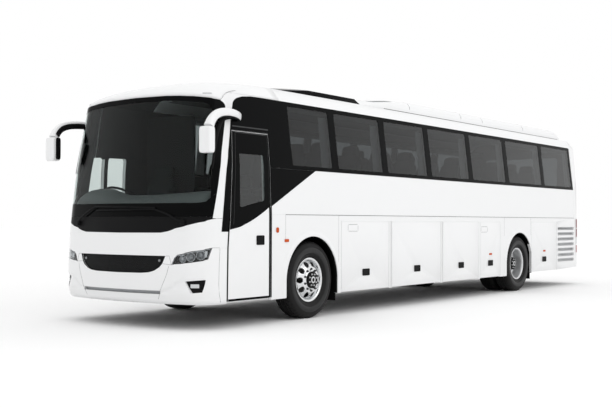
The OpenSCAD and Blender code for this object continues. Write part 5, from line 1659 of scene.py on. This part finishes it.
# Along each foot of the cover: a dark line where it meets the roof, partly joint and partly painted shadow in
# the crease.
for s in (1, -1):
    y = s * (AC_HIGH.y + 0.004)
    foot = [(x, y, (top_of("roof", x, y) or 3.0) + 0.003) for x in map(station, np.linspace(-2.3, -9.3, 29))]
    sweep(bm, foot, 0.012, 0.01, sides=6)
make_piece("cooling_cover_joints", bm, *JOINT)
bm = bmesh.new()
for s in (-1, 1):
    for k in range(6):
        y = s * (0.74 + 0.024 * k)
        tops = [(x, top_of("ac_unit", x, y)) for x in map(station, np.linspace(-2.75, -2.2, 9))]
        line = [(x, y, z + 0.0005) for x, z in tops if z]
        if len(line) > 1:
            sweep(bm, line, 0.012, 0.004, up=(0, 0.02, 1), sides=6)
make_piece("cooling_vent_slats", bm, "rubber", GREY_TRIM)
print("cooling unit box:", [round(c, 3) for c in (*AC_LOW, *AC_HIGH)], "roof at the aerial:", round(base, 3))

# %% [markdown]
# ## Rear end
# Stacked lenses in a dark housing wrap each rear corner. The engine door has a slatted vent
# and a handle, and a brake lamp sits above the rubber of the rear window. The lenses are
# lofted about the corner's own centre, so they stand evenly proud of it.


# %% Rear end
REAR_X = station(-9.72)
CORNER_R = 0.11


def corner_point(s, degrees, r, z):
    """A place on a rear corner: 0 degrees looks out to the side, 90 looks back."""
    a = math.radians(degrees)
    return Vector((REAR_X + CORNER_R - r * math.sin(a), s * (HALF_W - CORNER_R + r * math.cos(a)), z))


LENS_SOFT, LENS_FIRST, LENS_TURNS = 0.005, 2, 14


def corner_lens(bm, s, r0, r1, low, top, last):
    r = r1 - LENS_SOFT
    section = ((r0, low), (r, low), (r1, low + LENS_SOFT), (r1, top - LENS_SOFT), (r, top), (r0, top))
    turns = [LENS_FIRST + (last - LENS_FIRST) * k / LENS_TURNS for k in range(LENS_TURNS + 1)]
    add_loft(bm, [[corner_point(s, a, r, z) for r, z in section] for a in turns])


LENSES = (("tail_lamp_housing", BLACK_PLASTIC, "rubber", 0.0925, 0.108, ((0.842, 1.388),), 88.0),
          ("tail_lenses", TAIL_LENS, "lamp_red", 0.1, 0.117, ((1.195, 1.376), (0.994, 1.178)), 87.0),
          ("reversing_lenses", PALE_LENS, "lamp_clear", 0.1, 0.112, ((0.856, 0.976),), 87.0),
          ("corner_reflectors", RED_LENS, "lamp_red", 0.106, 0.115, ((0.67, 0.825),), 60.0))
for name, material, slot, r0, r1, spans, last in LENSES:
    bm = bmesh.new()
    for s in (-1, 1):
        for low, top in spans:
            corner_lens(bm, s, r0, r1, low, top, last)
    piece = make_piece(name, bm, slot, material)
    if name == "tail_lamp_housing":
        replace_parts(piece, "tail_lamps")


bm = bmesh.new()
outline = rounded([(-0.868, 2.042), (0.868, 2.042), (0.868, 2.738), (-0.868, 2.738)], 0.1, 8)
sweep(bm, [(REAR_X - 0.0005, y, z) for y, z in outline], 0.056, 0.006, up=(1, 0, 0), sides=8, close=True)
make_piece("rear_window_rubber", bm, "rubber", RUBBER)
bm = bmesh.new()
puffed_box(bm, (REAR_X - 0.014, -0.26, 2.812), (REAR_X + 0.004, 0.26, 2.846), n=8, power=5.0)
make_piece("high_brake_lamp", bm, "lamp_red", RED_LENS, 60.0)
bm = bmesh.new()
for z in (1.405, 0.44):
    ends = [[corner_point(s, d, CORNER_R, z) for d in range(6, 91, 6)] for s in (1, -1)]
    sweep(bm, [*ends[0], *reversed(ends[1])], 0.0016, 0.0045, sides=6)
make_piece("rear_seams", bm, *JOINT)

ENGINE_BODY = NODES["engine_door"]["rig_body"]
bm = bmesh.new()
puffed_box(bm, (REAR_X - 0.003, -0.58, 0.79), (REAR_X + 0.002, 0.58, 1.2), n=10, power=30.0)
puffed_box(bm, (REAR_X - 0.016, -0.09, 0.497), (REAR_X + 0.002, 0.09, 0.525), n=6, power=5.0)
make_piece("engine_door_fittings", bm, "rubber", BLACK_PLASTIC, 60.0, ENGINE_BODY)
bm = bmesh.new()
slat_turn = Matrix.Rotation(math.radians(-28), 4, "Y")
puffed_box(bm, (-0.011, -0.565, -0.004), (0.011, 0.565, 0.004), slat_turn, n=6, power=8.0)
slat = part_object("vent_slat", bm)
rows = {"Columns": 1, "Column Step": (0, 1, 0), "Rows": 9, "Row Step": (0, 0, 0.044)}
grow("engine_vent_slats", ROW_TREE, {"Part": slat, **rows}, *WHITE,
     Matrix.Translation((REAR_X - 0.008, 0, 0.82)), body=ENGINE_BODY)
bpy.data.objects.remove(slat)
print("rear lenses:", sum(len(row[5]) for row in LENSES) * 2, "engine door body:", ENGINE_BODY)

# %% [markdown]
# ## Seams of the front
# The joints between mask, bumper and pillar covers are narrower than a panel's own gap. Each is
# a slim dark bar along the skin, because a line that thin would be lost as a cut.

# %% Front seams
SEAM_LINES = (((5.75, 0.8926), (6.5, 0.8926), (7.0, 0.787)), ((15.4, 0.9936), (17, 0.992)),
              ((5.4, 0.798), (6.95, 0.787)), ((6.41, 0.77), (5.11, 0.482), (4.61, 0.368)),
              ((17, 0.335), (17, 0.982)), ((16.1, 1.346), (17.15, 1.346)))
bm = bmesh.new()
for s in (-1, 1):
    for line in SEAM_LINES:
        side_on = line[0][0] > 15
        sweep(bm, skin_line([(s * i, z) for i, z in line], -0.0002), 0.0035, 0.0016,
              up=(0.02, s, 0) if side_on else (1, 0, 0.1), sides=6)
make_piece("bumper_seams", bm, *JOINT)
print("front seams:", 2 * len(SEAM_LINES))

# %% [markdown]
# ## Inside faces
# The white skins are one solid each, so their inner faces would be white too. A thin dark
# lining lies on every face that looks inwards: it is the same face, lifted a little and given
# a depth. Painting by face would also do, but a lining keeps one material to a piece.


# %% Inside faces
def looks_in(face):
    mid, out = face.calc_center_median(), face.normal
    if mid.z < DECK_Z:
        return False
    if abs(out.y) > 0.6:
        return out.y * mid.y < 0 and abs(mid.y) > 0.9
    if mid.x > station(1.2):
        return out.x < -0.3 or out.z < -0.3 or out.y * mid.y < -0.2
    return mid.z > 2.7 and out.z < -0.3 or out.x > 0.6 and mid.x < station(-9.3)


LINING_T = 0.0012


def add_lining(name, pieces):
    bm = bmesh.new()
    for piece in pieces:
        bm.from_mesh(bpy.data.objects[piece].data)
    bm.normal_update()
    away = [f for f in bm.faces if not looks_in(f)]
    bmesh.ops.delete(bm, geom=away, context="FACES")
    for v in bm.verts:
        v.co += v.normal * (2 * LINING_T)
    bmesh.ops.solidify(bm, geom=list(bm.faces), thickness=LINING_T)
    return make_piece(name, bm, *CAB_INSIDE)


cab = add_lining("cab_lining", ["front_mask_skin", "roof_dome_skin"])
saloon = add_lining("saloon_lining", ["side_wall_left_skin", "side_wall_right_skin", "rear_panel_skin"])
for side, s in SIDES:
    low, top = 2.46 if s > 0 else 2.2, 2.88
    corners = ((low, -0.03), (low, 0.05), (top, 0.05), (top, -0.03))
    outline = [(table(CAP_END, z) + d, z) for z, d in corners]
    side_trim(f"pillar_joint_{side}", [outline], s, *CAB_INSIDE, -0.0485, 0.004)
print("lining faces:", len(cab.data.polygons), len(saloon.data.polygons))

# %% [markdown]
# ## Inside the saloon
# Dark linings under the roof and a covered floor keep the saloon as dim behind its tinted
# glass as a real one is.

# %% Linings
CEILING_Z, CEILING_FALL = 3.105, 0.075
crown = [(y, CEILING_Z - CEILING_FALL * y ** 2) for y in np.linspace(-1.0, 1.0, 17)]
section = [*crown, *((y, z - 0.006) for y, z in reversed(crown))]
bm = bmesh.new()
add_loft(bm, [[(station(x), y, z) for y, z in section] for x in np.linspace(-9.35, 0.5, 12)])
make_piece("ceiling_lining", bm, "interior", TRIM, 40.0)
print("ceiling at", CEILING_Z)

# %% [markdown]
# ## Dash pad
# A padded top lies behind the windscreen, humped ahead of the driver. Its front edge follows
# the glass column by column, and one closed section rises from there to the crest. Following
# the glass keeps the space between the two even.

# %% Dash pad
DASH_CREST = ((-1.14, 1.66), (-0.97, 1.715), (-0.8, 1.738), (-0.52, 1.73), (-0.36, 1.685), (-0.2, 1.64),
              (0.24, 1.64), (0.57, 1.655), (1.14, 1.68))
PAD_LIP_Z, PAD_FOOT_Z, PAD_DEPTH, PAD_HALF = 1.5, 1.42, 0.34, 1.14
rows = []
for i in np.linspace(-13.6, 13.6, 69):
    lip = skin(PAD_LIP_Z, i, 0.045)
    deep = PAD_DEPTH * (1 - 0.45 * abs(lip.y / PAD_HALF) ** 4)
    top = table(DASH_CREST, lip.y)
    slope = [(d, PAD_LIP_Z + f * (top - PAD_LIP_Z)) for d, f in ((0.12, 0.35), (0.4, 0.72), (0.7, 0.94))]
    section = ((0.0, PAD_FOOT_Z), (0.0, PAD_LIP_Z), *slope, (0.85, top), (0.95, top - 0.012),
               (1.0, top - 0.04), (1.0, PAD_FOOT_Z))
    rows.append([(lip.x - deep * share, lip.y, z) for share, z in section])
bm = bmesh.new()
add_loft(bm, rows)
make_piece("dash_pad", bm, "interior", DASH_PAD, 40.0)
print("dash columns:", len(rows))

# %% [markdown]
# ## Finishes on the pieces that keep their solid
# What lies below or inside is exact as it stands, and only takes its finish.

# %% Dressed solids
for node in ("chassis_frame", "front_axle", "rear_axle", "engine", "knuckle_left", "knuckle_right",
             "door_arms"):
    dress(node, CHASSIS)
dress("wheel_housings", RUBBER)
for node in ("floor_structure", "bulkheads", "entrance_floor"):
    dress(node, FLOOR_COVER)
dress("parcel_racks", TRIM)
dress("dashboard", DASH_GREY)
dress("steering_wheel", BLACK_PLASTIC)
dress("marker_lamps", AMBER_LENS)
print("solids with only a finish: chassis, floor, racks, dashboard, steering wheel, side lamps")
